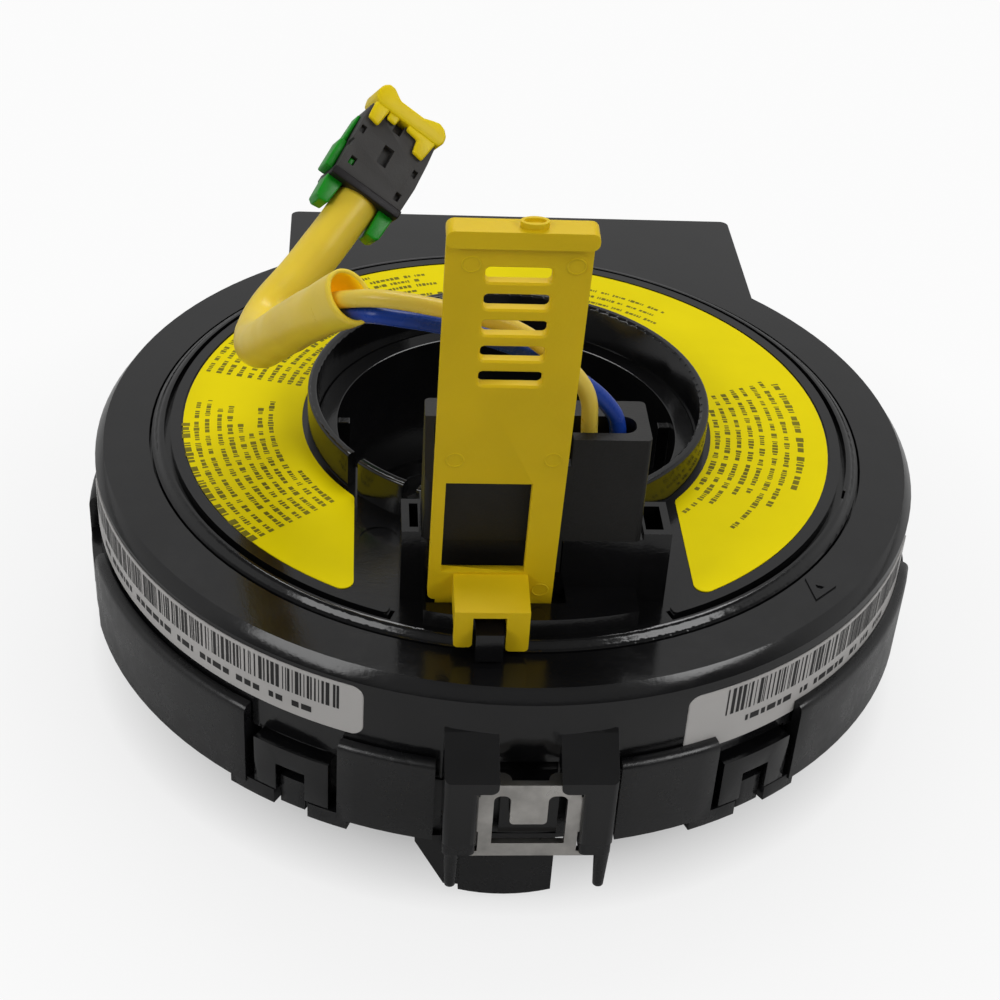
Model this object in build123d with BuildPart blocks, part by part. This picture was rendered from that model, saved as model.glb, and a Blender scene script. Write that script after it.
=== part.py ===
from build123d import *
import math
import os

os.makedirs("parts", exist_ok=True)

# Steering clock spring, in millimetres. The origin is on the axis of the bore, in the plane of the
# case's underside (the seat). +Z runs up the axis towards the steering wheel and -Y points at the
# tower that holds the airbag lead's plug.

# Case sizes
case_h = 21.0            # flat top ring over the seat
case_r = 51.1            # side wall of the upper case
case_wall = 1.5
top_edge_chamfer = 1.1   # how far the top edge slopes in
top_edge_drop = 1.55     # how far it slopes down
top_ring_t = 1.9
top_ring_w = 6.9         # from the side wall to the rotor's rim
shelf_t = 1.5            # shelf under the rotor's rim
shelf_reach = 3.2        # how far the shelf goes in under the rim
shelf_step = 1.4
skirt_t = 1.25           # outer skirt of the lower case
skirt_h = 11.2
skirt_round = 1.2
shoulder_z = 8.0         # where the upper case's wall seats in the lower case
liner_t = 1.2            # inner wall of the ribbon chamber
floor_t = 1.6
guide_ring_t = 1.3
guide_ring_h = 6.0
seat_clear = 0.15        # between the upper case's wall and the skirt
run_clear = 0.3          # rotor to case, round and under
arrow_z = 0.2            # raised triangle on the top ring
arrow_bar = 0.75
arrow_points = [(32.46, -31.01), (35.79, -32.39), (33.01, -34.90)]

# Snap tabs between the two halves of the case
tab_angles = [-170, -119.7, -59.4, -10, 30, 150]
tab_arc = 10.5           # degrees
tab_pocket_arc = 13.0
tab_bottom_z = 0.9
tab_top_z = 7.4
tab_inset = 0.2          # behind the skirt's face
tab_window_arc = 4.1     # the window is open at the bottom, between two legs
tab_window_top = 4.8
tab_hook_top = 2.8
tab_hook_arc = 3.5
tab_hook_inset = 0.8
relief_top = 8.4         # shallow relief in the wall over each tab
relief_depth = 0.8
foot_h = 1.5
foot_top = 0.55
foot_before, foot_after = 9.2, 7.7      # degrees each side of a tab
foot_gap = 2.4

# Rotor
rotor_rise = 0.83        # disc over the case's top ring
rim_slope_run = 1.3      # the rim slopes down over this run
disc_under = 1.4         # underside of the disc below the case's top
collar_r = 25.0
collar_t = 1.2
collar_top = 5.5         # collar over the case's top
collar_round = 0.4
hub_bottom_z = 2.1
slit_inset = 1.925       # from the rotor's edge to the middle of the C-shaped slit
slit_w = 0.75
slit_depth = 1.3
slit_start = -67.1
slit_end = 248.3
rim_strip_w = 1.35
rim_strip_h = 0.2
finger_slots = [-140.7, -120.8]   # slots that free a snap finger in the collar
finger_slot_w = 1.8
mark_x, mark_y, mark_d, mark_depth = -16.2, -25.3, 4.6, 0.15
carrier_r = 26.8         # inner end of the ribbon, on the hub

# Tower on the rotor, which holds the plug
tower_left, tower_right = -11.95, 12.2
tower_front, tower_back = -36.6, -28.2
tower_top = 9.6          # tower rim over the case's top
tower_wall = 1.4
tower_floor = 2.0
plug_clear = 0.15
side_pocket_top = 10.2
side_pocket_left = -14.05
side_pocket_right = 15.3
side_pocket_front, side_pocket_back = -36.4, -30.4
side_pocket_wall = 0.85
side_pocket_inner = 0.3
side_pocket_depth = 6.0
latch_left, latch_right = -10.2, 3.3     # front notch for the plug's latch plate
latch_bottom = 5.0
plinth_left, plinth_right = -11.6, 11.9
plinth_over = 0.075      # past the middle of the slit
plinth_top = 2.9
plinth_corner = 1.8
strap_pocket_left, strap_pocket_right = -11.3, 4.0
strap_pocket_front = -39.4
strap_pocket_floor = 0.9
lug_left, lug_right = -6.2, -3.2        # tongue that the strap's hook straddles
lug_over = 2.2           # past the rotor's edge
lug_top = 4.1

# Plug of the airbag lead
plug_left, plug_right = -11.85, 11.8
plug_front, plug_back = -37.0, -29.4
plug_top = 22.75
plug_tenon_bottom = 3.0
plug_slot_left, plug_slot_right = -10.9, 10.4
plug_slot_front, plug_slot_back = -35.6, -32.4
plug_slot_floor = 14.0
plug_notch_left, plug_notch_right = -10.0, 3.5
plug_notch_floor = 19.4
shoulder_drop = 5.5
shoulder_run = 4.2
plug_round = 0.6

# Lock strap, on its own plane, which leans out towards the tower's front
strap_foot_y = -39.0
strap_foot_z = 2.6       # over the case's top
strap_lean = 7.41        # degrees
strap_left, strap_right = -11.15, 2.63
strap_len = 48.4
strap_t = 1.0
strap_tongue = 1.4       # how far its foot goes into the pocket
strap_foot_slope = 0.5   # its foot runs a little out of square
strap_corner = 0.8
lip_low, lip_high = 47.4, 49.3
lip_proud, lip_back = 0.7, 1.5
lip_over = 0.35
lip_round = 0.45
nub_x, nub_w, nub_d, nub_h = -3.1, 2.7, 1.4, 0.65
vent_x, vent_w, vent_h = -4.2, 6.3, 1.75
vent_mid, vent_pitch, vent_count = 37.7, 3.12, 5
vent_bevel = 0.2
window_left, window_right = -9.85, -0.92
window_low, window_high = 4.75, 17.6
hook_left, hook_right = -8.5, -0.45
hook_front = -45.1
hook_root_z, hook_end_z = 7.0, 6.15
hook_t = 0.8
prong_gap_left, prong_gap_right = -6.5, -2.9
prong_front_t = 1.15
prong_left_z, prong_right_z = 1.4, 0.85
prong_round = 0.5
hook_side_z = 3.4

# Lower sleeve in the hub
sleeve_r = 21.3
sleeve_gap = 0.05
sleeve_top = 0.2         # over the case's top
bore_r = 19.0
bore_low, bore_high = -1.2, 2.0
flange_r = 28.0
rib_reach_r = 19.7
rib_y, rib_t = 2.5, 1.2
rib_top, rib_len = 1.3, 6.7

# Rear plate and connector housing
plate_left, plate_right = -28.8, 37.0
plate_reach = 5.8        # behind the case's side wall
plate_corner = 1.2
plate_skirt_z = 9.5
plate_skirt_t = 1.6
housing_len = 16.9
housing_h = 10.0         # how far it reaches below the seat
housing_inset = 0.3
cavity_depth = 10.0
cavity_z_low, cavity_z_high = -8.8, -1.4
cavity_a_left, cavity_a_right = -24.5, 1.0
cavity_b_left, cavity_b_right = 6.0, 32.5
pin_w = 0.64
pin_pitch = 2.5
pin_len = 7.0
pin_z = -7.4
header_t = 0.9
key_rib_w, key_rib_h = 1.6, 0.9

# Small connector under the front of the case
socket_left, socket_right = -6.9, 3.6
socket_len = 8.8
socket_over = 0.2        # past the upper case's side wall
socket_h = 8.9
socket_corner_rise = 0.8
socket_wall = 1.2
socket_depth = 8.0
socket_pin_back = 2.2    # pins from the socket's rear face
gusset_reach = 5.1
gusset_t = 1.4
gusset_set = 1.6         # behind the socket's front

# Clip bracket at the front
post_left_a, post_left_b = -9.3, -5.5
post_right_a, post_right_b = 5.65, 9.35
post_left_eave, post_right_eave = -3.45, 3.2     # inner ends of the eaves, over the clip's corners
post_reach = 4.2         # in front of the case's side wall
post_roof_z, post_fold_z, post_eave_z = 15.45, 13.85, 12.1
post_fold_at = 2.3       # from the front
post_lip_z = 10.6
post_lip_round = 0.9
post_round = 0.7
post_bottom_z = 3.05
post_gap = 0.35          # post to lower case
recess_top, recess_depth = 11.4, 0.9     # relief in the wall behind the clip
base_low, base_high = 1.4, 2.95          # the lower case's two blocks under the posts
base_inset = 0.1
clip_set, clip_t = 0.9, 0.8              # clip behind the posts' front
clip_left, clip_right = -5.35, 5.5
clip_low, clip_high = 0.55, 11.1
clip_ear, clip_ear_low, clip_ear_h = 0.55, 4.2, 5.2
clip_slot_gap = 0.1
boss_gap, boss_side_gap = 0.4, 0.8
clip_window_left, clip_window_right = -3.86, 4.1
clip_window_low, clip_window_high = 2.45, 9.54
clip_tongue_w, clip_tongue_len = 4.05, 4.2
clip_slot_round = 0.8
clip_foot, clip_foot_h = 0.85, 0.7
clip_flange_t, clip_flange_len = 0.5, 2.0
clip_flange_cut = 4.0
peg_d, peg_len = 1.8, 5.6
peg_taper = 3.0
peg_back = 0.15
peg_xs = [-8.1, 8.4]

# Ribbon chamber
ribbon_in_gap, ribbon_out_gap = 1.0, 2.3     # to the guide ring and to the chamber's wall
ribbon_turns = 6
ribbon_t = 0.3
ribbon_low, ribbon_high = 3.4, 16.4
film_t = 0.25
holder_arc = 18
holder_t = 2.0

# Labels
face_label_gap_in, face_label_gap_out = 0.7, 0.2
face_label_cut = 19.1
label_t = 0.12
side_label_corner = 1.3
side_label_left_low, side_label_left_high = 12.2, 18.9
side_label_left_a0, side_label_left_a1 = -170.0, -110.5
side_label_right_low, side_label_right_high = 9.8, 18.05
side_label_right_a0, side_label_right_a1 = -70.4, -20.0

# Airbag lead
wire_d = 1.8
wire_apart = 2.1          # between the two wires where they enter the sleeve
wire_last_run = 2.4
sleeve_tube_d = 5.5
sleeve_last_run = 8.0

# Squib connector at the lead's end, on a plane of its own that leans as the lead leaves it
squib_origin = (-18.96, 10.1, 47.4)
squib_x = (0.8168, -0.1438, -0.5588)
squib_z = (0.2903, -0.7350, 0.6136)
squib_w, squib_h, squib_t = 10.8, 10.8, 6.6
squib_wall = 1.1
squib_arm_w, squib_arm_t = 3.0, 0.9
squib_base_t = 1.6
lock_w, lock_h, lock_t = 11.6, 2.1, 4.6
lock_gap = 0.1
lock_leg_w, lock_leg_len, lock_leg_t = 2.6, 2.6, 0.8

# Sizes that follow from those above
top = case_h
disc_top = top + rotor_rise
shelf_top = top - disc_under - run_clear
shelf_under = shelf_top - shelf_t
rotor_r = case_r - top_ring_w
stator_in_r = rotor_r + run_clear
shelf_r = rotor_r - shelf_reach
shelf_edge_r = stator_in_r + shelf_step
rim_slope_start_r = rotor_r - rim_slope_run
slit_r = rotor_r - slit_inset
plinth_r = slit_r + plinth_over
lug_front = -(rotor_r + lug_over)
wall_in_r = case_r - case_wall
skirt_in_r = case_r + seat_clear
skirt_r = skirt_in_r + skirt_t
liner_r = wall_in_r - liner_t - 0.1
hub_in_r = collar_r - collar_t
guide_r = collar_r + run_clear
ribbon_in_r = guide_r + guide_ring_t + ribbon_in_gap
ribbon_out_r = liner_r - ribbon_out_gap
face_label_in = collar_r + face_label_gap_in
face_label_out = slit_r - slit_w / 2 - rim_strip_w - face_label_gap_out
plate_back = case_r + plate_reach
housing_front = plate_back - housing_len
socket_front = -(case_r + socket_over)
socket_back = socket_front + socket_len
gusset_y = socket_front + gusset_set
post_front = -(case_r + post_reach)
post_back = -(skirt_in_r + post_gap)
clip_front = post_front + clip_set


def on_circle(radius, angle):
    a = math.radians(angle)
    return (radius * math.cos(a), radius * math.sin(a))


def ring_sector(r_in, r_out, start, end):
    """A flat piece of a ring, between two angles in degrees."""
    with BuildSketch() as sector:
        with BuildLine():
            CenterArc((0, 0), r_out, start, end - start)
            Line(on_circle(r_out, end), on_circle(r_in, end))
            CenterArc((0, 0), r_in, end, start - end)
            Line(on_circle(r_in, start), on_circle(r_out, start))
        make_face()
    return sector.sketch


# Two posts that carry the metal clip, each under a sloping roof whose eave laps the clip's corner
with BuildPart() as posts:
    for outer, inner, eave in (
        (post_left_a, post_left_b, post_left_eave), (post_right_b, post_right_a, post_right_eave)
    ):
        with BuildSketch(Plane.XZ.offset(-post_front)):
            with BuildLine():
                Polyline(
                    (outer, post_bottom_z), (inner, post_bottom_z), (inner, post_lip_z),
                    (eave, post_lip_z), (eave, post_roof_z + 1), (outer, post_roof_z + 1), close=True,
                )
            post_outline = make_face()
            lip_corner = post_outline.vertices().sort_by(lambda v: abs(v.X - eave) + abs(v.Y - post_lip_z))
            fillet(lip_corner[:1], post_lip_round)
        extrude(amount=post_front + wall_in_r - 2)
    with BuildSketch(Plane.YZ.offset(post_left_a - 1)):
        with BuildLine():
            Polyline(
                (post_front, 0), (post_front, post_eave_z), (post_front + post_fold_at, post_fold_z),
                (-case_r + 0.3, post_roof_z), (-wall_in_r + 2, post_roof_z + 1.4),
                (-wall_in_r + 2, shoulder_z + 0.2), (post_back, shoulder_z + 0.2), (post_back, 0), close=True,
            )
        make_face()
    extrude(amount=post_right_b - post_left_a + 2, mode=Mode.INTERSECT)
    upright = posts.edges().filter_by(Axis.Z).group_by(Axis.Y)[0]
    fillet(upright.filter_by(lambda e: e.length > 5), post_round)
    # only what lies outside the case's wall is kept
    with BuildSketch(Plane.XY.offset(-1)):
        Circle(case_r - case_wall / 2)
    extrude(amount=case_h, mode=Mode.SUBTRACT)
    # slots in the inner faces for the clip's ears
    with BuildSketch(Plane.XY.offset(clip_ear_low - clip_slot_gap)):
        with Locations(((clip_left + clip_right) / 2, clip_front + clip_t / 2)):
            Rectangle(
                clip_right - clip_left + 2 * clip_ear + 2 * clip_slot_gap, clip_t + 2 * clip_slot_gap
            )
    extrude(amount=clip_ear_h + 2 * clip_slot_gap, mode=Mode.SUBTRACT)
    # room behind the eaves for the clip's top
    with BuildSketch(Plane.XY.offset(post_lip_z - 2)):
        with Locations(((clip_left + clip_right) / 2, clip_front + clip_flange_len / 2)):
            Rectangle(clip_right - clip_left + 2 * clip_slot_gap, clip_flange_len + 2 * clip_slot_gap)
    extrude(amount=clip_high - post_lip_z + 2 + 2 * clip_slot_gap, mode=Mode.SUBTRACT)

# Upper case: a turned ring with a shelf for the rotor, the rear plate, snap tabs and the clip bracket
with BuildPart() as upper_case:
    with BuildSketch(Plane.XZ):
        with BuildLine():
            Polyline(
                (shelf_r, shelf_top),
                (stator_in_r, shelf_top),
                (stator_in_r, top),
                (case_r - top_edge_chamfer, top),
                (case_r, top - top_edge_drop),
                (case_r, shoulder_z),
                (wall_in_r, shoulder_z),
                (wall_in_r, top - top_ring_t),
                (shelf_edge_r, top - top_ring_t),
                (shelf_edge_r, shelf_under),
                (shelf_r, shelf_under),
                close=True,
            )
        make_face()
    revolve(axis=Axis.Z)
    # rear plate, flush with the ring, with a skirt round its free sides
    with BuildSketch(Plane.XY.offset(top - top_ring_t)):
        with BuildLine():
            Polyline(
                (plate_left, 20), (plate_right, 20), (plate_right, plate_back),
                (plate_left, plate_back), close=True,
            )
        plate_outline = make_face()
        fillet(plate_outline.vertices().group_by(Axis.Y)[-1], plate_corner)
        Circle(case_r - top_edge_chamfer - 0.4, mode=Mode.SUBTRACT)
    extrude(amount=top_ring_t)
    with BuildSketch(Plane.XY.offset(plate_skirt_z)):
        with BuildLine():
            Polyline(
                (plate_left, 20), (plate_right, 20), (plate_right, plate_back),
                (plate_left, plate_back), close=True,
            )
        skirt_outline = make_face()
        fillet(skirt_outline.vertices().group_by(Axis.Y)[-1], plate_corner)
        with BuildLine():
            Polyline(
                (plate_left + plate_skirt_t, 10), (plate_right - plate_skirt_t, 10),
                (plate_right - plate_skirt_t, plate_back - plate_skirt_t),
                (plate_left + plate_skirt_t, plate_back - plate_skirt_t), close=True,
            )
        make_face(mode=Mode.SUBTRACT)
        Circle(skirt_r + seat_clear, mode=Mode.SUBTRACT)
    extrude(amount=top - plate_skirt_z - top_ring_t / 2)
    add(posts.part)
    # snap tabs hang from the wall, flush with the skirt, each an upside-down U under a shallow relief
    with BuildSketch(Plane.XY.offset(tab_bottom_z)):
        for a in tab_angles:
            add(ring_sector(wall_in_r, case_r, a - tab_arc / 2, a + tab_arc / 2))
    extrude(amount=shoulder_z - tab_bottom_z + 0.5)
    with BuildSketch(Plane.XY.offset(tab_top_z)):
        for a in tab_angles:
            add(ring_sector(case_r - relief_depth, case_r + 1, a - tab_arc / 2, a + tab_arc / 2))
    extrude(amount=relief_top - tab_top_z, mode=Mode.SUBTRACT)
    with BuildSketch(Plane.XY.offset(tab_bottom_z)):
        for a in tab_angles:
            add(ring_sector(case_r - 0.3, skirt_r - tab_inset, a - tab_arc / 2, a + tab_arc / 2))
    extrude(amount=tab_top_z - tab_bottom_z)
    with BuildSketch(Plane.XY.offset(tab_bottom_z - 1)):
        for a in tab_angles:
            add(ring_sector(wall_in_r - 0.5, skirt_r + 0.5, a - tab_window_arc / 2, a + tab_window_arc / 2))
    extrude(amount=tab_window_top - tab_bottom_z + 1, mode=Mode.SUBTRACT)
    # relief in the wall behind the clip
    with BuildSketch(Plane.XY.offset(shoulder_z - 1)):
        with BuildLine():
            Polyline(
                (post_left_eave, -case_r - 1), (post_right_eave, -case_r - 1), (post_right_eave, -40),
                (post_left_eave, -40), close=True,
            )
        make_face()
        Circle(case_r - recess_depth, mode=Mode.SUBTRACT)
    extrude(amount=recess_top - shoulder_z + 1, mode=Mode.SUBTRACT)
    # boss behind the clip's tongue, hung from the wall over the lower case
    boss_y = clip_front + clip_t + boss_gap
    with BuildSketch(Plane.YZ.offset(clip_window_left + boss_side_gap)):
        with BuildLine():
            Polyline(
                (-wall_in_r - 0.3, clip_high - 1.6), (boss_y, clip_high - 2.6),
                (boss_y, clip_window_low + 0.6), (post_back, clip_window_low + 0.6),
                (post_back, shoulder_z + 0.2), (-wall_in_r - 0.3, shoulder_z + 0.2), close=True,
            )
        make_face()
    extrude(amount=clip_window_right - clip_window_left - 2 * boss_side_gap)
    # raised triangle on the top ring
    with BuildSketch(Plane.XY.offset(top - 0.1)):
        with BuildLine():
            Polyline(*arrow_points, close=True)
        arrow = make_face()
        offset(arrow, amount=-arrow_bar, mode=Mode.SUBTRACT)
    extrude(amount=arrow_z + 0.1)
upper_case.part.label = "upper_case"
export_step(upper_case.part, "parts/upper_case.step")

# Lower case: floor, chamber wall, skirt with pockets, guide ring, feet and the front connector
with BuildPart() as lower_case:
    with BuildSketch(Plane.XZ):
        with BuildLine():
            Line((guide_r, 0), (skirt_r, 0))
            Line((skirt_r, 0), (skirt_r, skirt_h - skirt_round))
            Bezier(
                (skirt_r, skirt_h - skirt_round), (skirt_r, skirt_h - 0.3),
                (skirt_in_r + 0.7, skirt_h), (skirt_in_r, skirt_h),
            )
            Polyline(
                (skirt_in_r, skirt_h), (skirt_in_r, shoulder_z), (liner_r, shoulder_z),
                (liner_r, floor_t), (guide_r + guide_ring_t, floor_t),
                (guide_r + guide_ring_t, guide_ring_h), (guide_r, guide_ring_h), (guide_r, 0),
            )
        make_face()
    revolve(axis=Axis.Z)
    # gaps in the skirt for the snap tabs, with a hook standing in each and a low foot at both sides
    with BuildSketch(Plane.XY.offset(-1)):
        for a in tab_angles:
            add(ring_sector(
                wall_in_r - seat_clear, skirt_r + 1, a - tab_pocket_arc / 2, a + tab_pocket_arc / 2
            ))
    extrude(amount=skirt_h + 2, mode=Mode.SUBTRACT)
    with BuildSketch(Plane.XY.offset(-foot_h + 0.3)):
        for a in tab_angles:
            add(ring_sector(
                wall_in_r - seat_clear - 0.3, skirt_r - tab_hook_inset,
                a - tab_hook_arc / 2, a + tab_hook_arc / 2,
            ))
    extrude(amount=tab_hook_top + foot_h - 0.3)
    with BuildSketch(Plane.XY.offset(-foot_h)):
        for a in tab_angles:
            add(ring_sector(liner_r + 0.4, skirt_r - 0.3, a - foot_before, a - foot_gap))
            add(ring_sector(liner_r + 0.4, skirt_r - 0.3, a + foot_gap, a + foot_after))
    extrude(amount=foot_h + foot_top)
    # the skirt opens for the clip bracket
    with BuildSketch(Plane.XY.offset(-1)):
        with BuildLine():
            Polyline(
                (post_left_a - 0.8, -skirt_r - 1), (post_right_b + 0.8, -skirt_r - 1),
                (post_right_b + 0.8, -40), (post_left_a - 0.8, -40), close=True,
            )
        make_face()
        Circle(case_r + seat_clear, mode=Mode.SUBTRACT)
    extrude(amount=skirt_h + 2, mode=Mode.SUBTRACT)
    # blocks under the two posts, with a locating peg below each
    for xa, xb in ((post_left_a, post_left_b), (post_right_a, post_right_b)):
        with BuildSketch(Plane.XY.offset(base_low)):
            with BuildLine():
                Polyline(
                    (xa + base_inset, post_front + base_inset), (xb - base_inset, post_front + base_inset),
                    (xb - base_inset, -liner_r - 0.5), (xa + base_inset, -liner_r - 0.5), close=True,
                )
            base_outline = make_face()
            fillet(base_outline.vertices().group_by(Axis.Y)[0], post_round)
        extrude(amount=base_high - base_low)
    with BuildSketch(Plane.XY.offset(base_low + 0.3)):
        with Locations(*[(x, post_front + peg_d / 2 + peg_back) for x in peg_xs]):
            Circle(peg_d / 2)
    extrude(amount=-peg_len, taper=peg_taper)
    # socket under the front, open downwards, its lower edge bowed, with a gusset at its left
    socket_mid = (socket_left + socket_right) / 2
    with BuildSketch(Plane.XZ.offset(-socket_front)):
        with BuildLine():
            Polyline(
                (socket_right, -socket_h + socket_corner_rise), (socket_right, floor_t / 2),
                (socket_left, floor_t / 2), (socket_left, -socket_h + socket_corner_rise),
            )
            ThreePointArc(
                (socket_left, -socket_h + socket_corner_rise), (socket_mid, -socket_h),
                (socket_right, -socket_h + socket_corner_rise),
            )
        make_face()
    extrude(amount=-socket_len)
    with BuildSketch(Plane.XY.offset(-socket_h - 1)):
        with BuildLine():
            Polyline(
                (socket_left + socket_wall, socket_back - socket_wall),
                (socket_left + socket_wall, socket_front + socket_wall),
                (socket_right - socket_wall, socket_front + socket_wall),
                (socket_right - socket_wall, socket_back - socket_wall), close=True,
            )
        make_face()
    extrude(amount=socket_depth + 1, mode=Mode.SUBTRACT)
    with BuildSketch(Plane.XZ.offset(-gusset_y)):
        with BuildLine():
            Polyline(
                (socket_left + 0.3, 0.3), (socket_left - gusset_reach, 0.3),
                (socket_left - gusset_reach, -0.6), (socket_left - 1.7, -socket_h + 1.6),
                (socket_left + 0.3, -socket_h + 1.4), close=True,
            )
        make_face()
    extrude(amount=gusset_t)
lower_case.part.label = "lower_case"
export_step(lower_case.part, "parts/lower_case.step")

# Connector housing: two sockets that open backwards, under and behind the case
with BuildPart() as connector_housing:
    with BuildSketch(Plane.XY.offset(-housing_h)):
        with BuildLine():
            Polyline(
                (plate_left + housing_inset, housing_front), (plate_right - housing_inset, housing_front),
                (plate_right - housing_inset, plate_back - housing_inset),
                (plate_left + housing_inset, plate_back - housing_inset), close=True,
            )
        make_face()
    extrude(amount=housing_h)
    with BuildSketch(Plane.XY):
        with BuildLine():
            Polyline(
                (plate_left + housing_inset, housing_front), (plate_right - housing_inset, housing_front),
                (plate_right - housing_inset, plate_back - housing_inset),
                (plate_left + housing_inset, plate_back - housing_inset), close=True,
            )
        make_face()
        Circle(skirt_r + seat_clear / 3, mode=Mode.SUBTRACT)
    extrude(amount=plate_skirt_z - 0.2)
    fillet(connector_housing.edges().filter_by(Axis.Z).group_by(Axis.Y)[-1], plate_corner)
    for xa, xb in ((cavity_a_left, cavity_a_right), (cavity_b_left, cavity_b_right)):
        with BuildSketch(Plane.XZ.offset(-(plate_back - housing_inset))):
            with Locations(((xa + xb) / 2, (cavity_z_low + cavity_z_high) / 2)):
                Rectangle(xb - xa, cavity_z_high - cavity_z_low)
            with Locations(((xa + xb) / 2 - 6, cavity_z_high), ((xa + xb) / 2 + 6, cavity_z_high)):
                Rectangle(key_rib_w, 2 * key_rib_h, mode=Mode.SUBTRACT)
        extrude(amount=cavity_depth, mode=Mode.SUBTRACT)
connector_housing.part.label = "connector_housing"
export_step(connector_housing.part, "parts/connector_housing.step")


def pin_header(x_left, x_right):
    """A header plate at a cavity's back with one row of square pins."""
    mid = (x_left + x_right) / 2
    back_y = plate_back - housing_inset - cavity_depth
    with BuildPart() as header:
        with BuildSketch(Plane.XZ.offset(-back_y)):
            with Locations((mid, (cavity_z_low + cavity_z_high) / 2 - key_rib_h / 2)):
                Rectangle(x_right - x_left - 0.2, cavity_z_high - cavity_z_low - key_rib_h - 0.2)
        extrude(amount=-header_t)
        with BuildSketch(Plane.XZ.offset(-back_y - header_t)):
            with Locations((mid, pin_z)):
                with GridLocations(pin_pitch, 1, int((x_right - x_left - 3) / pin_pitch), 1):
                    Rectangle(pin_w, pin_w)
        extrude(amount=-pin_len)
    return header.part


with BuildPart() as terminals_left:
    add(pin_header(cavity_a_left, cavity_a_right))
terminals_left.part.label = "terminals_left"
export_step(terminals_left.part, "parts/terminals_left.step")

with BuildPart() as terminals_right:
    add(pin_header(cavity_b_left, cavity_b_right))
terminals_right.part.label = "terminals_right"
export_step(terminals_right.part, "parts/terminals_right.step")

# Header and three pins in the front socket
with BuildPart() as front_terminals:
    socket_floor = -socket_h + socket_depth
    with BuildSketch(Plane.XY.offset(socket_floor)):
        with Locations((socket_mid, (socket_front + socket_back) / 2)):
            Rectangle(
                socket_right - socket_left - 2 * socket_wall - 0.2,
                socket_back - socket_front - 2 * socket_wall - 0.2,
            )
    extrude(amount=-header_t)
    with BuildSketch(Plane.XY.offset(socket_floor - header_t)):
        with Locations((socket_mid, socket_back - socket_pin_back)):
            with GridLocations(pin_pitch, 1, 3, 1):
                Rectangle(pin_w, pin_w)
    extrude(amount=-(socket_depth - header_t - 1.5))
front_terminals.part.label = "front_terminals"
export_step(front_terminals.part, "parts/front_terminals.step")

# Metal clip: a flat frame with a tongue, held by its ears, its top edge bent back in two short flaps
with BuildPart() as retaining_clip:
    clip_mid = (clip_left + clip_right) / 2
    with BuildSketch(Plane.XZ.offset(-clip_front)) as clip_face:
        with Locations((clip_mid, (clip_low + clip_high) / 2)):
            RectangleRounded(clip_right - clip_left, clip_high - clip_low, 0.6)
        with Locations((clip_mid, clip_ear_low + clip_ear_h / 2)):
            Rectangle(clip_right - clip_left + 2 * clip_ear, clip_ear_h)
        with Locations((clip_mid, clip_low + clip_foot_h / 2)):
            Rectangle(clip_right - clip_left + 2 * clip_foot, clip_foot_h)
        with BuildLine():
            Polyline(
                (clip_window_left, clip_window_low), (clip_window_right, clip_window_low),
                (clip_window_right, clip_window_high),
                (clip_tongue_w / 2, clip_window_high),
                (clip_tongue_w / 2, clip_window_high - clip_tongue_len),
                (-clip_tongue_w / 2, clip_window_high - clip_tongue_len),
                (-clip_tongue_w / 2, clip_window_high),
                (clip_window_left, clip_window_high), close=True,
            )
        make_face(mode=Mode.SUBTRACT)
        tongue_z = clip_window_high - clip_tongue_len
        fillet(clip_face.vertices().filter_by(lambda v: abs(v.Y - tongue_z) < 0.01), 0.5)
        fillet(clip_face.vertices().filter_by(lambda v: abs(v.Y - clip_window_high) < 0.01), clip_slot_round)
    extrude(amount=-clip_t)
    for xa, xb in (
        (clip_left + 0.6, -clip_flange_cut / 2), (clip_flange_cut / 2, clip_right - 0.6)
    ):
        with BuildSketch(Plane.XY.offset(clip_high)) as flap:
            with BuildLine():
                Polyline(
                    (xa, clip_front), (xb, clip_front), (xb, clip_front + clip_flange_len),
                    (xa, clip_front + clip_flange_len), close=True,
                )
            make_face()
            inner_corner = flap.vertices().group_by(Axis.Y)[-1].sort_by(lambda v: abs(v.X))
            fillet(inner_corner[:1], 1.1)
        extrude(amount=-clip_flange_t)
retaining_clip.part.label = "retaining_clip"
export_step(retaining_clip.part, "parts/retaining_clip.step")

# Flat ribbon cable, wound between the hub and the case
ribbon_steps = 16 * ribbon_turns


def spiral_points(shift):
    pts = []
    for i in range(ribbon_steps + 1):
        share = i / ribbon_steps
        radius = ribbon_in_r + (ribbon_out_r - ribbon_in_r) * share + shift
        pts.append(on_circle(radius, 360 * ribbon_turns * share))
    return pts


with BuildPart() as ribbon_cable:
    with BuildSketch(Plane.XY.offset(ribbon_low)):
        with BuildLine():
            inner_edge = Spline(*spiral_points(0))
            outer_edge = Spline(*spiral_points(ribbon_t))
            Line(inner_edge @ 0, outer_edge @ 0)
            Line(inner_edge @ 1, outer_edge @ 1)
        make_face()
    extrude(amount=ribbon_high - ribbon_low)
ribbon_cable.part.label = "ribbon_cable"
export_step(ribbon_cable.part, "parts/ribbon_cable.step")

# Block that holds the ribbon's outer end against the chamber wall
with BuildPart() as ribbon_holder:
    with BuildSketch(Plane.XY.offset(floor_t + film_t)):
        add(ring_sector(liner_r - holder_t, liner_r - 0.05, -holder_arc / 2, holder_arc / 2))
    extrude(amount=ribbon_high - floor_t)
    fillet(ribbon_holder.edges().filter_by(Axis.Z), 0.4)
ribbon_holder.part.label = "ribbon_holder"
export_step(ribbon_holder.part, "parts/ribbon_holder.step")

# Glide films above and below the ribbon
with BuildPart() as glide_film_lower:
    with BuildSketch(Plane.XY.offset(floor_t)):
        Circle(liner_r - 0.3)
        Circle(guide_r + guide_ring_t + 0.3, mode=Mode.SUBTRACT)
    extrude(amount=film_t)
glide_film_lower.part.label = "glide_film_lower"
export_step(glide_film_lower.part, "parts/glide_film_lower.step")

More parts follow.
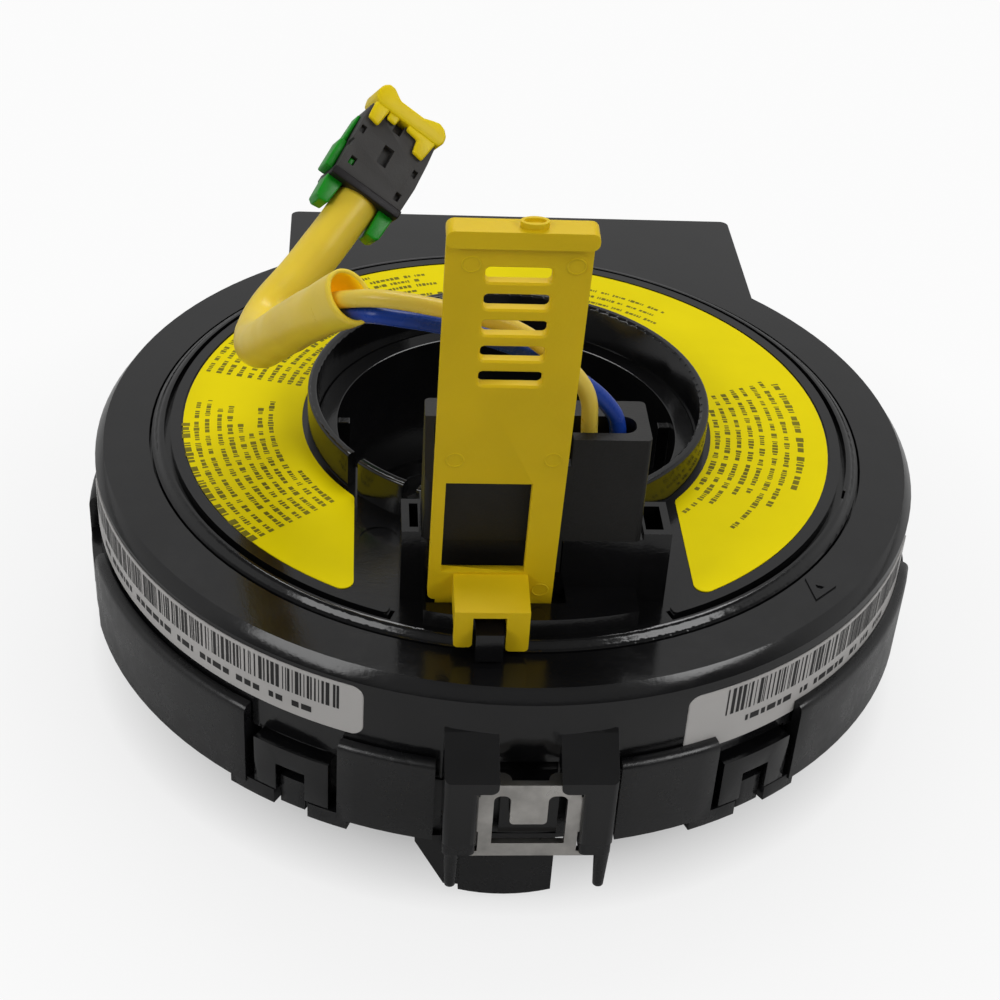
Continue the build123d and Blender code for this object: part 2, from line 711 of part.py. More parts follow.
with BuildPart() as glide_film_upper:
    with BuildSketch(Plane.XY.offset(shelf_under - film_t)):
        Circle(wall_in_r - 0.3)
        Circle(shelf_r + 0.3, mode=Mode.SUBTRACT)
    extrude(amount=film_t)
glide_film_upper.part.label = "glide_film_upper"
export_step(glide_film_upper.part, "parts/glide_film_upper.step")



def side_label(low, high, start, end):
    """A thin label bent round the side wall, with rounded corners."""
    a = math.radians((start + end) / 2)
    face_plane = Plane(
        origin=(0, 0, (low + high) / 2), x_dir=(-math.sin(a), math.cos(a), 0),
        z_dir=(math.cos(a), math.sin(a), 0),
    )
    width = 2 * case_r * math.sin(math.radians((end - start) / 2))
    with BuildPart() as label:
        with BuildSketch(Plane.XY.offset(low - 1)):
            add(ring_sector(case_r, case_r + label_t, start - 5, end + 5))
        extrude(amount=high - low + 2)
        with BuildSketch(face_plane):
            RectangleRounded(width, high - low, side_label_corner)
        extrude(amount=case_r + 5, mode=Mode.INTERSECT)
    return label.part


# Labels on the side wall
with BuildPart() as side_label_left:
    add(side_label(side_label_left_low, side_label_left_high, side_label_left_a0, side_label_left_a1))
side_label_left.part.label = "side_label_left"
export_step(side_label_left.part, "parts/side_label_left.step")

with BuildPart() as side_label_right:
    add(side_label(side_label_right_low, side_label_right_high, side_label_right_a0, side_label_right_a1))
side_label_right.part.label = "side_label_right"
export_step(side_label_right.part, "parts/side_label_right.step")

# Rotor: disc with a sloping rim, collar and hub in one turned form, then the tower and plinth
with BuildPart() as rotor:
    with BuildSketch(Plane.XZ):
        with BuildLine():
            Polyline(
                (collar_r, disc_top), (rim_slope_start_r, disc_top),
            )
            Bezier(
                (rim_slope_start_r, disc_top), (rim_slope_start_r + 0.7, disc_top),
                (rotor_r - 0.6, top + 0.02), (rotor_r, top + 0.02),
            )
            Polyline(
                (rotor_r, top + 0.02), (rotor_r, top - disc_under), (collar_r, top - disc_under),
                (collar_r, hub_bottom_z), (hub_in_r, hub_bottom_z), (hub_in_r, top + collar_top),
                (collar_r, top + collar_top), (collar_r, disc_top),
            )
        make_face()
    revolve(axis=Axis.Z)
    fillet(rotor.edges().group_by(Axis.Z)[-1], collar_round)
    # C-shaped slit, with the rim strip just inside it
    with BuildSketch(Plane.XY.offset(disc_top - slit_depth)):
        add(ring_sector(slit_r - slit_w / 2, slit_r + slit_w / 2, slit_start - 0.8, slit_end + 0.8))
        for a in (slit_start - 0.6, slit_end + 0.6):
            add(ring_sector(slit_r - 1.2, slit_r + slit_w / 2, a - 0.35, a + 0.35))
        add(ring_sector(slit_r - slit_w / 2, slit_r + slit_w, -22.2, -19.8))
    extrude(amount=slit_depth + 1, mode=Mode.SUBTRACT)
    with BuildSketch(Plane.XY.offset(disc_top - 0.1)):
        strip = add(ring_sector(
            slit_r - slit_w / 2 - rim_strip_w, slit_r - slit_w / 2, slit_start, slit_end
        ))
        fillet(strip.vertices(), rim_strip_w * 0.3)
    extrude(amount=rim_strip_h + 0.1)
    with BuildSketch(Plane.XY.offset(disc_top - mark_depth)):
        with Locations((mark_x, mark_y)):
            Circle(mark_d / 2)
    extrude(amount=mark_depth + 1, mode=Mode.SUBTRACT)
    # slots that free a snap finger in the collar
    for a in finger_slots:
        with BuildSketch(Plane.XY.rotated((0, 0, a)).offset(disc_top)):
            with Locations((collar_r - collar_t / 2, 0)):
                Rectangle(collar_t + 1, finger_slot_w)
        extrude(amount=collar_top + 1, mode=Mode.SUBTRACT)
    # carrier for the ribbon's inner end, on the hub
    with BuildSketch(Plane.XY.offset(guide_ring_h + 1)):
        add(ring_sector(collar_r - 0.4, carrier_r, -holder_arc, holder_arc))
    extrude(amount=ribbon_high - guide_ring_h - 1)
    # plinth under the tower's front, with the pocket for the strap's foot
    with BuildSketch(Plane.XY.offset(top - disc_under)):
        Circle(plinth_r)
        with BuildLine():
            Polyline(
                (plinth_left, tower_front + 1), (plinth_right, tower_front + 1),
                (plinth_right, -plinth_r - 1), (plinth_left, -plinth_r - 1), close=True,
            )
        plinth_outline = make_face(mode=Mode.INTERSECT)
        fillet(plinth_outline.vertices().sort_by(Axis.Y)[:2], plinth_corner)
    extrude(amount=plinth_top + disc_under)
    with BuildSketch(Plane.XY.offset(top + strap_pocket_floor)):
        with BuildLine():
            Polyline(
                (strap_pocket_left, tower_front), (strap_pocket_right, tower_front),
                (strap_pocket_right, strap_pocket_front), (strap_pocket_left, strap_pocket_front),
                close=True,
            )
        make_face()
    extrude(amount=plinth_top + 1, mode=Mode.SUBTRACT)
    # tower walls
    with BuildSketch(Plane.XY.offset(top - disc_under)):
        with BuildLine():
            Polyline(
                (tower_left, tower_front), (tower_right, tower_front), (tower_right, tower_back),
                (tower_left, tower_back), close=True,
            )
        make_face()
    extrude(amount=tower_top + disc_under)
    # pockets at both sides of the tower
    for xa, xb in ((side_pocket_left, tower_left), (tower_right, side_pocket_right)):
        with BuildSketch(Plane.XY.offset(top - disc_under)):
            with BuildLine():
                Polyline(
                    (xa, side_pocket_front), (xb, side_pocket_front), (xb, side_pocket_back),
                    (xa, side_pocket_back), close=True,
                )
            make_face()
        extrude(amount=side_pocket_top + disc_under)
    for xa, xb in (
        (side_pocket_left + side_pocket_wall, tower_left - side_pocket_inner),
        (tower_right + side_pocket_inner, side_pocket_right - side_pocket_wall),
    ):
        with BuildSketch(Plane.XY.offset(top + side_pocket_top - side_pocket_depth)):
            with BuildLine():
                Polyline(
                    (xa, side_pocket_front + side_pocket_wall), (xb, side_pocket_front + side_pocket_wall),
                    (xb, side_pocket_back - side_pocket_wall), (xa, side_pocket_back - side_pocket_wall),
                    close=True,
                )
            make_face()
        extrude(amount=side_pocket_depth + 1, mode=Mode.SUBTRACT)
    # socket in the tower, with the front notch for the plug's latch plate
    with BuildSketch(Plane.XY.offset(top + tower_floor)):
        with BuildLine():
            Polyline(
                (tower_left + tower_wall, tower_front + tower_wall),
                (tower_right - tower_wall, tower_front + tower_wall),
                (tower_right - tower_wall, tower_back - tower_wall),
                (tower_left + tower_wall, tower_back - tower_wall), close=True,
            )
        make_face()
    extrude(amount=side_pocket_top, mode=Mode.SUBTRACT)
    with BuildSketch(Plane.XY.offset(top + latch_bottom - plug_clear)):
        with BuildLine():
            Polyline(
                (latch_left - plug_clear, tower_front - 1), (latch_right + plug_clear, tower_front - 1),
                (latch_right + plug_clear, tower_front + tower_wall + 0.5),
                (latch_left - plug_clear, tower_front + tower_wall + 0.5), close=True,
            )
        make_face()
    extrude(amount=side_pocket_top, mode=Mode.SUBTRACT)
    # tongue at the front that the strap's hook straddles, clear of the case's top ring
    with BuildSketch(Plane.XY.offset(top + run_clear + arrow_z)):
        with BuildLine():
            Polyline(
                (lug_left, 1.2 - plinth_r), (lug_left, lug_front), (lug_right, lug_front),
                (lug_right, 1.2 - plinth_r), close=True,
            )
        make_face()
    extrude(amount=lug_top - run_clear - arrow_z)
rotor.part.label = "rotor"
export_step(rotor.part, "parts/rotor.step")

# Lower sleeve: pushed up into the hub, its flange runs under the case's floor
with BuildPart() as lower_sleeve:
    with BuildSketch(Plane.XZ):
        with BuildLine():
            Polyline(
                (bore_r, bore_low), (flange_r, bore_low), (flange_r, -run_clear),
                (hub_in_r - sleeve_gap, -run_clear), (hub_in_r - sleeve_gap, top + sleeve_top),
                (sleeve_r, top + sleeve_top), (sleeve_r, bore_high), (bore_r, bore_high), close=True,
            )
        make_face()
    revolve(axis=Axis.Z)
    for side in (-1, 1):
        with BuildSketch(Plane.XY.offset(top - rib_top - rib_len)):
            with Locations((side * (rib_reach_r + sleeve_r + 0.4) / 2, rib_y)):
                Rectangle(sleeve_r + 0.4 - rib_reach_r, rib_t)
        extrude(amount=rib_len)
lower_sleeve.part.label = "lower_sleeve"
export_step(lower_sleeve.part, "parts/lower_sleeve.step")

# C-shaped label on the disc
with BuildPart() as face_label:
    with BuildSketch(Plane.XY.offset(disc_top)) as label_sketch:
        Circle(face_label_out)
        Circle(face_label_in, mode=Mode.SUBTRACT)
        with Locations((0, -face_label_out)):
            Rectangle(2 * face_label_cut, 2 * face_label_out, mode=Mode.SUBTRACT)
        fillet(label_sketch.vertices(), 1.3)
    extrude(amount=label_t)
face_label.part.label = "face_label"
export_step(face_label.part, "parts/face_label.step")

# Plug in the tower, with a slot for the wires and a latch plate at its front
with BuildPart() as lead_plug:
    with BuildSketch(Plane.XY.offset(top + tower_top)):
        with BuildLine():
            Polyline(
                (plug_left, plug_front), (plug_right, plug_front), (plug_right, plug_back),
                (plug_left, plug_back), close=True,
            )
        plug_outline = make_face()
        fillet(plug_outline.vertices(), plug_round)
    extrude(amount=plug_top - tower_top)
    # sloping shoulder at the left end
    with BuildSketch(Plane.YZ.offset(plug_left - 1)):
        with BuildLine():
            Polyline(
                (plug_front - 1, top + plug_top - shoulder_drop), (plug_front, top + plug_top - shoulder_drop),
                (plug_front + shoulder_run, top + plug_top + 0.1), (plug_front - 1, top + plug_top + 0.1),
                close=True,
            )
        make_face()
    extrude(amount=plug_notch_left - plug_left + 1, mode=Mode.SUBTRACT)
    # tenon in the tower's socket
    with BuildSketch(Plane.XY.offset(top + plug_tenon_bottom)):
        with BuildLine():
            Polyline(
                (tower_left + tower_wall + plug_clear, tower_front + tower_wall + plug_clear),
                (tower_right - tower_wall - plug_clear, tower_front + tower_wall + plug_clear),
                (tower_right - tower_wall - plug_clear, tower_back - tower_wall - plug_clear),
                (tower_left + tower_wall + plug_clear, tower_back - tower_wall - plug_clear), close=True,
            )
        make_face()
    extrude(amount=tower_top - plug_tenon_bottom)
    # latch plate in the tower's notch
    with BuildSketch(Plane.XY.offset(top + latch_bottom)):
        with BuildLine():
            Polyline(
                (latch_left, tower_front), (latch_right, tower_front),
                (latch_right, tower_front + tower_wall + 0.4), (latch_left, tower_front + tower_wall + 0.4),
                close=True,
            )
        make_face()
    extrude(amount=tower_top - latch_bottom)
    # wire slot in the top
    with BuildSketch(Plane.XY.offset(top + plug_slot_floor)):
        with BuildLine():
            Polyline(
                (plug_slot_left, plug_slot_front), (plug_slot_right, plug_slot_front),
                (plug_slot_right, plug_slot_back), (plug_slot_left, plug_slot_back), close=True,
            )
        slot_outline = make_face()
        fillet(slot_outline.vertices(), (plug_slot_back - plug_slot_front) * 0.42)
    extrude(amount=plug_top - plug_slot_floor + 1, mode=Mode.SUBTRACT)
    # notch in the front wall, behind the strap
    with BuildSketch(Plane.XY.offset(top + plug_notch_floor)):
        with BuildLine():
            Polyline(
                (plug_notch_left, plug_front - 1), (plug_notch_right, plug_front - 1),
                (plug_notch_right, plug_slot_front + 0.4), (plug_notch_left, plug_slot_front + 0.4),
                close=True,
            )
        make_face()
    extrude(amount=plug_top - plug_notch_floor + 1, mode=Mode.SUBTRACT)
lead_plug.part.label = "lead_plug"
export_step(lead_plug.part, "parts/lead_plug.step")


def lead_path(points):
    """Straight runs joined by tangent arcs as large as the two runs allow."""
    pts = [Vector(*p) for p in points]
    radii = []
    for a, b, c in zip(pts, pts[1:], pts[2:]):
        turn = (b - a).get_angle(c - b)
        shorter = min((b - a).length, (c - b).length)
        radii.append(0.45 * shorter / math.tan(math.radians(turn / 2)))
    print("turn radii", [round(r, 1) for r in radii])
    return FilletPolyline(*points, radius=radii)


slot_z = top + plug_slot_floor
squib_plane = Plane(origin=squib_origin, x_dir=squib_x, z_dir=squib_z)
squib_top_plane = Plane(origin=squib_origin, x_dir=squib_x, z_dir=squib_plane.y_dir)
sleeve_end = squib_plane.from_local_coords((-1.0, -squib_base_t, 0))
sleeve_points = [
    (-19.9, -36.5, slot_z + 23.7), (-23.9, -27.0, slot_z + 16.8), (-28.0, -17.5, slot_z + 8.6),
    (-30.9, -9.5, slot_z + 2.0), (-31.0, 0.3, slot_z + 0.6),
    tuple(sleeve_end - squib_plane.y_dir * sleeve_last_run), tuple(sleeve_end),
]
# the wires end square on the sleeve's mouth, one over the other
mouth_dir = (Vector(*sleeve_points[1]) - Vector(*sleeve_points[0])).normalized()
mouth = Plane(origin=sleeve_points[0], x_dir=Vector(0, 0, 1).cross(mouth_dir), z_dir=mouth_dir)
wire_yellow_points = [
    (6.8, -34.0, slot_z), (6.8, -34.0, slot_z + 8.5), (4.2, -35.8, slot_z + 17.0), (-2.2, -38.4, slot_z + 23.3),
    (-9.5, -39.8, slot_z + 26.9), (-15.5, -38.8, slot_z + 27.2),
    tuple(mouth.from_local_coords((0, wire_apart / 2, -wire_last_run))),
    tuple(mouth.from_local_coords((0, wire_apart / 2, 0))),
]
wire_blue_points = [
    (9.2, -34.0, slot_z), (9.2, -34.0, slot_z + 7.8), (6.6, -33.3, slot_z + 14.3), (-0.4, -34.3, slot_z + 19.4),
    (-8.0, -37.3, slot_z + 22.9), (-14.5, -38.9, slot_z + 24.2),
    tuple(mouth.from_local_coords((0, -wire_apart / 2, -wire_last_run))),
    tuple(mouth.from_local_coords((0, -wire_apart / 2, 0))),
]

for node_name, points, diameter in (
    ("wire_yellow", wire_yellow_points, wire_d),
    ("wire_blue", wire_blue_points, wire_d),
    ("lead_sleeve", sleeve_points, sleeve_tube_d),
):
    start, second = Vector(*points[0]), Vector(*points[1])
    with BuildPart() as lead_piece:
        with BuildLine():
            path = lead_path(points)
        with BuildSketch(Plane(origin=start, z_dir=second - start)):
            Circle(diameter / 2)
        sweep()
    print(node_name, "length", round(path.length, 1), "volume share",
          round(lead_piece.part.volume / (path.length * math.pi * diameter**2 / 4), 4))
    lead_piece.part.label = node_name
    export_step(lead_piece.part, "parts/" + node_name + ".step")

# Squib connector: a coloured inner body in a dark shell, with a pull-out lock on top
with BuildPart() as squib_shell:
    with BuildSketch(squib_top_plane):
        RectangleRounded(squib_w, squib_t, 0.8)
        Rectangle(squib_w - 2 * squib_wall, squib_t - 2 * squib_wall, mode=Mode.SUBTRACT)
    extrude(amount=squib_h)
squib_shell.part.label = "squib_shell"
export_step(squib_shell.part, "parts/squib_shell.step")

with BuildPart() as squib_housing:
    with BuildSketch(squib_top_plane.offset(-squib_base_t)):
        Rectangle(squib_w + 2 * squib_arm_t + 0.2, squib_arm_w)
    extrude(amount=squib_base_t - 0.1)
    with BuildSketch(squib_top_plane.offset(-0.2)):
        Rectangle(squib_w - 2 * squib_wall - 0.2, squib_t - 2 * squib_wall - 0.2)
    extrude(amount=squib_h - 2.0)
    with BuildSketch(squib_top_plane.offset(-0.2)):
        with Locations((-(squib_w + squib_arm_t) / 2 - 0.1, 0), ((squib_w + squib_arm_t) / 2 + 0.1, 0)):
            Rectangle(squib_arm_t, squib_arm_w)
    extrude(amount=squib_h - 3.0)
squib_housing.part.label = "squib_housing"
export_step(squib_housing.part, "parts/squib_housing.step")

with BuildPart() as squib_lock:
    with BuildSketch(squib_top_plane.offset(squib_h + lock_gap)):
        with Locations((0, -(squib_t / 2 - lock_t / 2 + 0.2))):
            RectangleRounded(lock_w, lock_t, 0.9)
    extrude(amount=lock_h)
    lock_up = Axis(squib_origin, tuple(squib_plane.y_dir))
    fillet(squib_lock.faces().sort_by(lock_up)[-1].edges(), 0.5)
    with BuildSketch(squib_top_plane.offset(squib_h + lock_gap + 0.2)):
        with Locations(
            (-squib_w / 2 + lock_leg_w / 2 + 0.3, -squib_t / 2 - lock_leg_t / 2 - lock_gap),
            (squib_w / 2 - lock_leg_w / 2 - 0.3, -squib_t / 2 - lock_leg_t / 2 - lock_gap),
        ):
            Rectangle(lock_leg_w, lock_leg_t)
    extrude(amount=-lock_leg_len - 0.2)
squib_lock.part.label = "squib_lock"
export_step(squib_lock.part, "parts/squib_lock.step")

# Lock strap: a leaning plate with vents, a window, a thick lip and a hook over the rotor's tongue
lean = math.radians(strap_lean)
strap_plane = Plane(
    origin=(0, strap_foot_y, top + strap_foot_z), x_dir=(1, 0, 0),
    z_dir=(0, -math.cos(lean), -math.sin(lean)),
)
with BuildPart() as lock_strap:
    with BuildSketch(strap_plane):
        with BuildLine():
            Polyline(
                (strap_left, strap_foot_slope), (strap_left + 0.9, strap_foot_slope),
                (strap_left + 0.9, -strap_tongue), (strap_right - 0.9, -strap_tongue),
                (strap_right - 0.9, -strap_foot_slope), (strap_right - 0.25, -strap_foot_slope),
                (strap_right, strap_len), (strap_left, strap_len), close=True,
            )
        strap_outline = make_face()
        foot_corner = strap_outline.vertices().sort_by(
            lambda v: abs(v.X - strap_left) + abs(v.Y - strap_foot_slope)
        )
        fillet(foot_corner[:1], strap_corner)
    extrude(amount=-strap_t)
    # thick lip along the top, rounded, and the moulding nub on it
    with BuildSketch(strap_plane.offset(lip_proud)):
        with BuildLine():
            Polyline(
                (strap_left - 0.05, lip_low), (strap_right + lip_over, lip_low),
                (strap_right + lip_over, lip_high), (strap_left - 0.05, lip_high), close=True,
            )
        lip_outline = make_face()
        fillet(lip_outline.vertices(), 0.8)
    extrude(amount=-lip_back - lip_proud)
    strap_up = (0, -math.sin(lean), math.cos(lean))
    nub_plane = Plane(
        origin=strap_plane.from_local_coords((nub_x, lip_high - 0.1, (lip_proud - lip_back) / 2)),
        x_dir=(1, 0, 0), z_dir=strap_up,
    )
    with BuildSketch(nub_plane):
        Ellipse(nub_w / 2, nub_d / 2)
    extrude(amount=nub_h + 0.1)
    with BuildSketch(nub_plane.offset(nub_h - 0.2)):
        Ellipse(nub_w / 2 - 0.3, nub_d / 2 - 0.3)
    extrude(amount=1, mode=Mode.SUBTRACT)
    # hook: a bridge with two side walls that end in prongs
    with BuildSketch(Plane.YZ.offset(hook_left)):
        with BuildLine():
            Polyline(
                (strap_foot_y - 0.2, top + hook_root_z), (hook_front, top + hook_end_z),
                (hook_front, top + hook_end_z - hook_t), (strap_foot_y - 0.2, top + hook_root_z - hook_t),
                close=True,
            )
        make_face()
    extrude(amount=hook_right - hook_left)
    for xa, xb, low in (
        (hook_left, prong_gap_left, prong_left_z), (prong_gap_right, hook_right, prong_right_z)
    ):
        with BuildSketch(Plane.YZ.offset(xa)):
            with BuildLine():
                Polyline(
                    (strap_foot_y - 0.2, top + hook_root_z - 0.5), (hook_front, top + hook_end_z - 0.5),
                    (hook_front, top + low), (hook_front + prong_front_t, top + low),
                    (hook_front + prong_front_t, top + hook_side_z), (strap_foot_y - 0.2, top + hook_side_z),
                    close=True,
                )
            make_face()
        extrude(amount=xb - xa)
    prong_ends = lock_strap.faces().filter_by(Axis.Z).filter_by(
        lambda f: f.center().Z < top + prong_left_z + 0.1 and f.center().Y < hook_front + prong_front_t
    )
    fillet(prong_ends.edges().filter_by(Axis.Y), prong_round)
    # vents with bevelled edges, and the window
    with BuildSketch(strap_plane.offset(1)):
        with Locations((vent_x, vent_mid)):
            with GridLocations(1, vent_pitch, 1, vent_count):
                RectangleRounded(vent_w, vent_h, 0.5)
        with BuildLine():
            Polyline(
                (window_left, window_low), (window_right, window_low), (window_right, window_high),
                (window_left, window_high), close=True,
            )
        make_face()
    extrude(amount=-strap_t - 2, mode=Mode.SUBTRACT)
    with BuildSketch(strap_plane):
        with Locations((vent_x, vent_mid)):
            with GridLocations(1, vent_pitch, 1, vent_count):
                RectangleRounded(vent_w + 2 * vent_bevel, vent_h + 2 * vent_bevel, 0.7)
    extrude(amount=-vent_bevel, taper=45, mode=Mode.SUBTRACT)
lock_strap.part.label = "lock_strap"
export_step(lock_strap.part, "parts/lock_strap.step")
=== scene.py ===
import bpy
import math
import random
from mathutils import Matrix, Vector, noise


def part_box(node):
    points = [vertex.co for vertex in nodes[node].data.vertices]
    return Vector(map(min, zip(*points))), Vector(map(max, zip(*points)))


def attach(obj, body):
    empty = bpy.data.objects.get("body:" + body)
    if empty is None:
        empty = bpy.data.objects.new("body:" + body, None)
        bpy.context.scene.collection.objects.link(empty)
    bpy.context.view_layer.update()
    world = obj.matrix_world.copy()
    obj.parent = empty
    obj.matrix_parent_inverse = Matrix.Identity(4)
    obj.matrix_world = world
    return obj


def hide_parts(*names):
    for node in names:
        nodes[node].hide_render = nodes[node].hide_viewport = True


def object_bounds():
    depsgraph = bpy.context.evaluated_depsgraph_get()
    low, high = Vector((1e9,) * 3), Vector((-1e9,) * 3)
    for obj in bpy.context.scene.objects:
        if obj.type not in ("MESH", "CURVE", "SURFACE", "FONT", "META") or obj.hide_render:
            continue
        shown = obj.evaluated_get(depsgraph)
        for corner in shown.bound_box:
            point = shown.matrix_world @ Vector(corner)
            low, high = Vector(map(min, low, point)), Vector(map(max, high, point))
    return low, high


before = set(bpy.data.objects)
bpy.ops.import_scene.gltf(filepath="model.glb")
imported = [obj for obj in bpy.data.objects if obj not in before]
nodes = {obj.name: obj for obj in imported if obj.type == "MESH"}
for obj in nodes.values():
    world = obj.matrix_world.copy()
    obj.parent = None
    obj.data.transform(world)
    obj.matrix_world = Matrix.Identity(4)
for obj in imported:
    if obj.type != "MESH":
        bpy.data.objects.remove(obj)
cad_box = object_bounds()
MM = 0.001

# Camera at the photograph's viewing point, fitted to the turned rings of the case and the rotor
right = Vector((0.99679, -0.05661, 0.05659))
up = Vector((-0.01279, 0.58528, 0.81073))
view_dir = Vector((0.07902, 0.80886, -0.58267))
view_from = Vector((-0.01968, -0.19978, 0.15321))
cam_data = bpy.data.cameras.new("photo_camera")
cam_data.lens = 68.4
cam_data.sensor_width = 36.0
cam_data.clip_start = 0.005
cam_data.clip_end = 20.0
cam = bpy.data.objects.new("photo_camera", cam_data)
bpy.context.scene.collection.objects.link(cam)
cam.matrix_world = Matrix((
    (right.x, up.x, -view_dir.x, view_from.x),
    (right.y, up.y, -view_dir.y, view_from.y),
    (right.z, up.z, -view_dir.z, view_from.z),
    (0, 0, 0, 1),
))
bpy.context.scene.camera = cam


# Material helpers
def new_material(name):
    m = bpy.data.materials.new(name)
    m.use_nodes = True
    tree = m.node_tree
    return m, tree, tree.nodes["Principled BSDF"]


def noise_node(tree, coords, scale, detail=3.0, rough=0.55):
    n = tree.nodes.new("ShaderNodeTexNoise")
    n.inputs["Scale"].default_value = scale
    n.inputs["Detail"].default_value = detail
    n.inputs["Roughness"].default_value = rough
    tree.links.new(coords, n.inputs["Vector"])
    return n.outputs["Fac"]


def ramp(tree, fac, stops):
    n = tree.nodes.new("ShaderNodeValToRGB")
    while len(n.color_ramp.elements) < len(stops):
        n.color_ramp.elements.new(0.5)
    for e, (pos, color) in zip(n.color_ramp.elements, stops):
        e.position = pos
        e.color = (*color, 1)
    tree.links.new(fac, n.inputs["Fac"])
    return n.outputs["Color"]


def map_range(tree, fac, low, high, to_low, to_high, kind="LINEAR"):
    n = tree.nodes.new("ShaderNodeMapRange")
    n.interpolation_type = kind
    n.inputs["From Min"].default_value = low
    n.inputs["From Max"].default_value = high
    n.inputs["To Min"].default_value = to_low
    n.inputs["To Max"].default_value = to_high
    tree.links.new(fac, n.inputs["Value"])
    return n.outputs["Result"]


def times(tree, a, b):
    n = tree.nodes.new("ShaderNodeMath")
    n.operation = "MULTIPLY"
    tree.links.new(a, n.inputs[0])
    tree.links.new(b, n.inputs[1])
    return n.outputs["Value"]


def mix_shaders(tree, share, first, second, surface):
    """Joins two shaders to the surface, the second with the given share."""
    n = tree.nodes.new("ShaderNodeMixShader")
    tree.links.new(share, n.inputs["Fac"])
    tree.links.new(first, n.inputs[1])
    tree.links.new(second, n.inputs[2])
    tree.links.new(n.outputs["Shader"], surface)


def bump_chain(tree, heights):
    """Bump nodes in a row, each (height socket, strength, distance)."""
    last = None
    for height, strength, distance in heights:
        b = tree.nodes.new("ShaderNodeBump")
        b.inputs["Strength"].default_value = strength
        b.inputs["Distance"].default_value = distance
        tree.links.new(height, b.inputs["Height"])
        if last is not None:
            tree.links.new(last, b.inputs["Normal"])
        last = b.outputs["Normal"]
    return last


# Scales of the materials' noises, and depths of their bumps in metres
drift_scale = 90
rub_scale = 260
wave_scale = 60
scratch_scale = 420
brush_scale = 380
stain_scale = 300
grain_depth = 0.00004
wave_depth = 0.0006
scratch_depth = 0.00002
brush_depth = 0.00003


def plastic(name, base, vary, rough, rough_vary, grain, grain_scale, specular=0.5, scratches=0.0,
            subsurface=0.0, wave=0.0):
    """Moulded plastic: a drift in colour, uneven roughness, fine grain, and faint waves and rub marks."""
    m, tree, bsdf = new_material(name)
    coords = tree.nodes.new("ShaderNodeTexCoord").outputs["Object"]
    slow = noise_node(tree, coords, drift_scale, 3)
    fine = noise_node(tree, coords, grain_scale, 2, 0.6)
    dark = [c * (1 - vary) for c in base]
    light = [min(1, c * (1 + vary)) for c in base]
    tree.links.new(ramp(tree, slow, [(0.3, dark), (0.7, light)]), bsdf.inputs["Base Color"])
    rub = noise_node(tree, coords, rub_scale, 5, 0.7)
    tree.links.new(map_range(tree, rub, 0.3, 0.75, rough - rough_vary, rough + rough_vary),
                   bsdf.inputs["Roughness"])
    heights = [(fine, grain, grain_depth)]
    if wave:
        heights.append((noise_node(tree, coords, wave_scale, 1), wave, wave_depth))
    if scratches:
        stretch = tree.nodes.new("ShaderNodeMapping")
        stretch.inputs["Scale"].default_value = (1.0, 14.0, 3.0)
        stretch.inputs["Rotation"].default_value = (0.2, 0.4, 0.6)
        tree.links.new(coords, stretch.inputs["Vector"])
        marks = noise_node(tree, stretch.outputs["Vector"], scratch_scale, 2, 0.5)
        heights.append((map_range(tree, marks, 0.62, 0.68, 0, 1), scratches, scratch_depth))
    tree.links.new(bump_chain(tree, heights), bsdf.inputs["Normal"])
    bsdf.inputs["Specular IOR Level"].default_value = specular
    if subsurface:
        bsdf.inputs["Subsurface Weight"].default_value = subsurface
        bsdf.inputs["Subsurface Radius"].default_value = (1.0, 0.7, 0.2)
        bsdf.inputs["Subsurface Scale"].default_value = 0.0012
    return m


def metal(name, base, rough):
    """Plated metal: fine lines from rolling, and darker, duller stains."""
    m, tree, bsdf = new_material(name)
    coords = tree.nodes.new("ShaderNodeTexCoord").outputs["Object"]
    stretch = tree.nodes.new("ShaderNodeMapping")
    stretch.inputs["Scale"].default_value = (1.0, 1.0, 16.0)
    tree.links.new(coords, stretch.inputs["Vector"])
    lines = noise_node(tree, stretch.outputs["Vector"], brush_scale, 3)
    stains = noise_node(tree, coords, stain_scale, 4)
    stained = [c * 0.72 for c in base]
    tree.links.new(ramp(tree, stains, [(0.35, stained), (0.62, base)]), bsdf.inputs["Base Color"])
    tree.links.new(map_range(tree, stains, 0.3, 0.7, rough + 0.12, rough - 0.04), bsdf.inputs["Roughness"])
    tree.links.new(bump_chain(tree, [(lines, 0.25, brush_depth)]), bsdf.inputs["Normal"])
    bsdf.inputs["Metallic"].default_value = 1.0
    return m


# Materials
case_black = plastic("case_black", (0.0046, 0.0046, 0.0050), vary=0.3, rough=0.15, rough_vary=0.05,
                     grain=0.22, grain_scale=2600, scratches=0.08, wave=0.03)
lower_black = plastic("lower_black", (0.0062, 0.0062, 0.0068), vary=0.3, rough=0.30, rough_vary=0.08,
                      grain=0.35, grain_scale=2400, scratches=0.10, wave=0.04)
rotor_black = plastic("rotor_black", (0.0040, 0.0040, 0.0044), vary=0.3, rough=0.14, rough_vary=0.05,
                      grain=0.18, grain_scale=2600, scratches=0.07, wave=0.025)
plug_grey = plastic("plug_grey", (0.0070, 0.0064, 0.0055), vary=0.2, rough=0.50, rough_vary=0.06, grain=0.9,
                    grain_scale=3200, specular=0.35)
strap_yellow = plastic("strap_yellow", (0.69, 0.48, 0.007), vary=0.05, rough=0.42, rough_vary=0.07,
                       grain=0.5, grain_scale=2200, specular=0.16, scratches=0.1, subsurface=0.12)
sleeve_yellow = plastic("sleeve_pale", (0.84, 0.62, 0.050), vary=0.06, rough=0.33, rough_vary=0.06,
                        grain=0.25, grain_scale=900, specular=0.3, subsurface=0.2, wave=0.08)
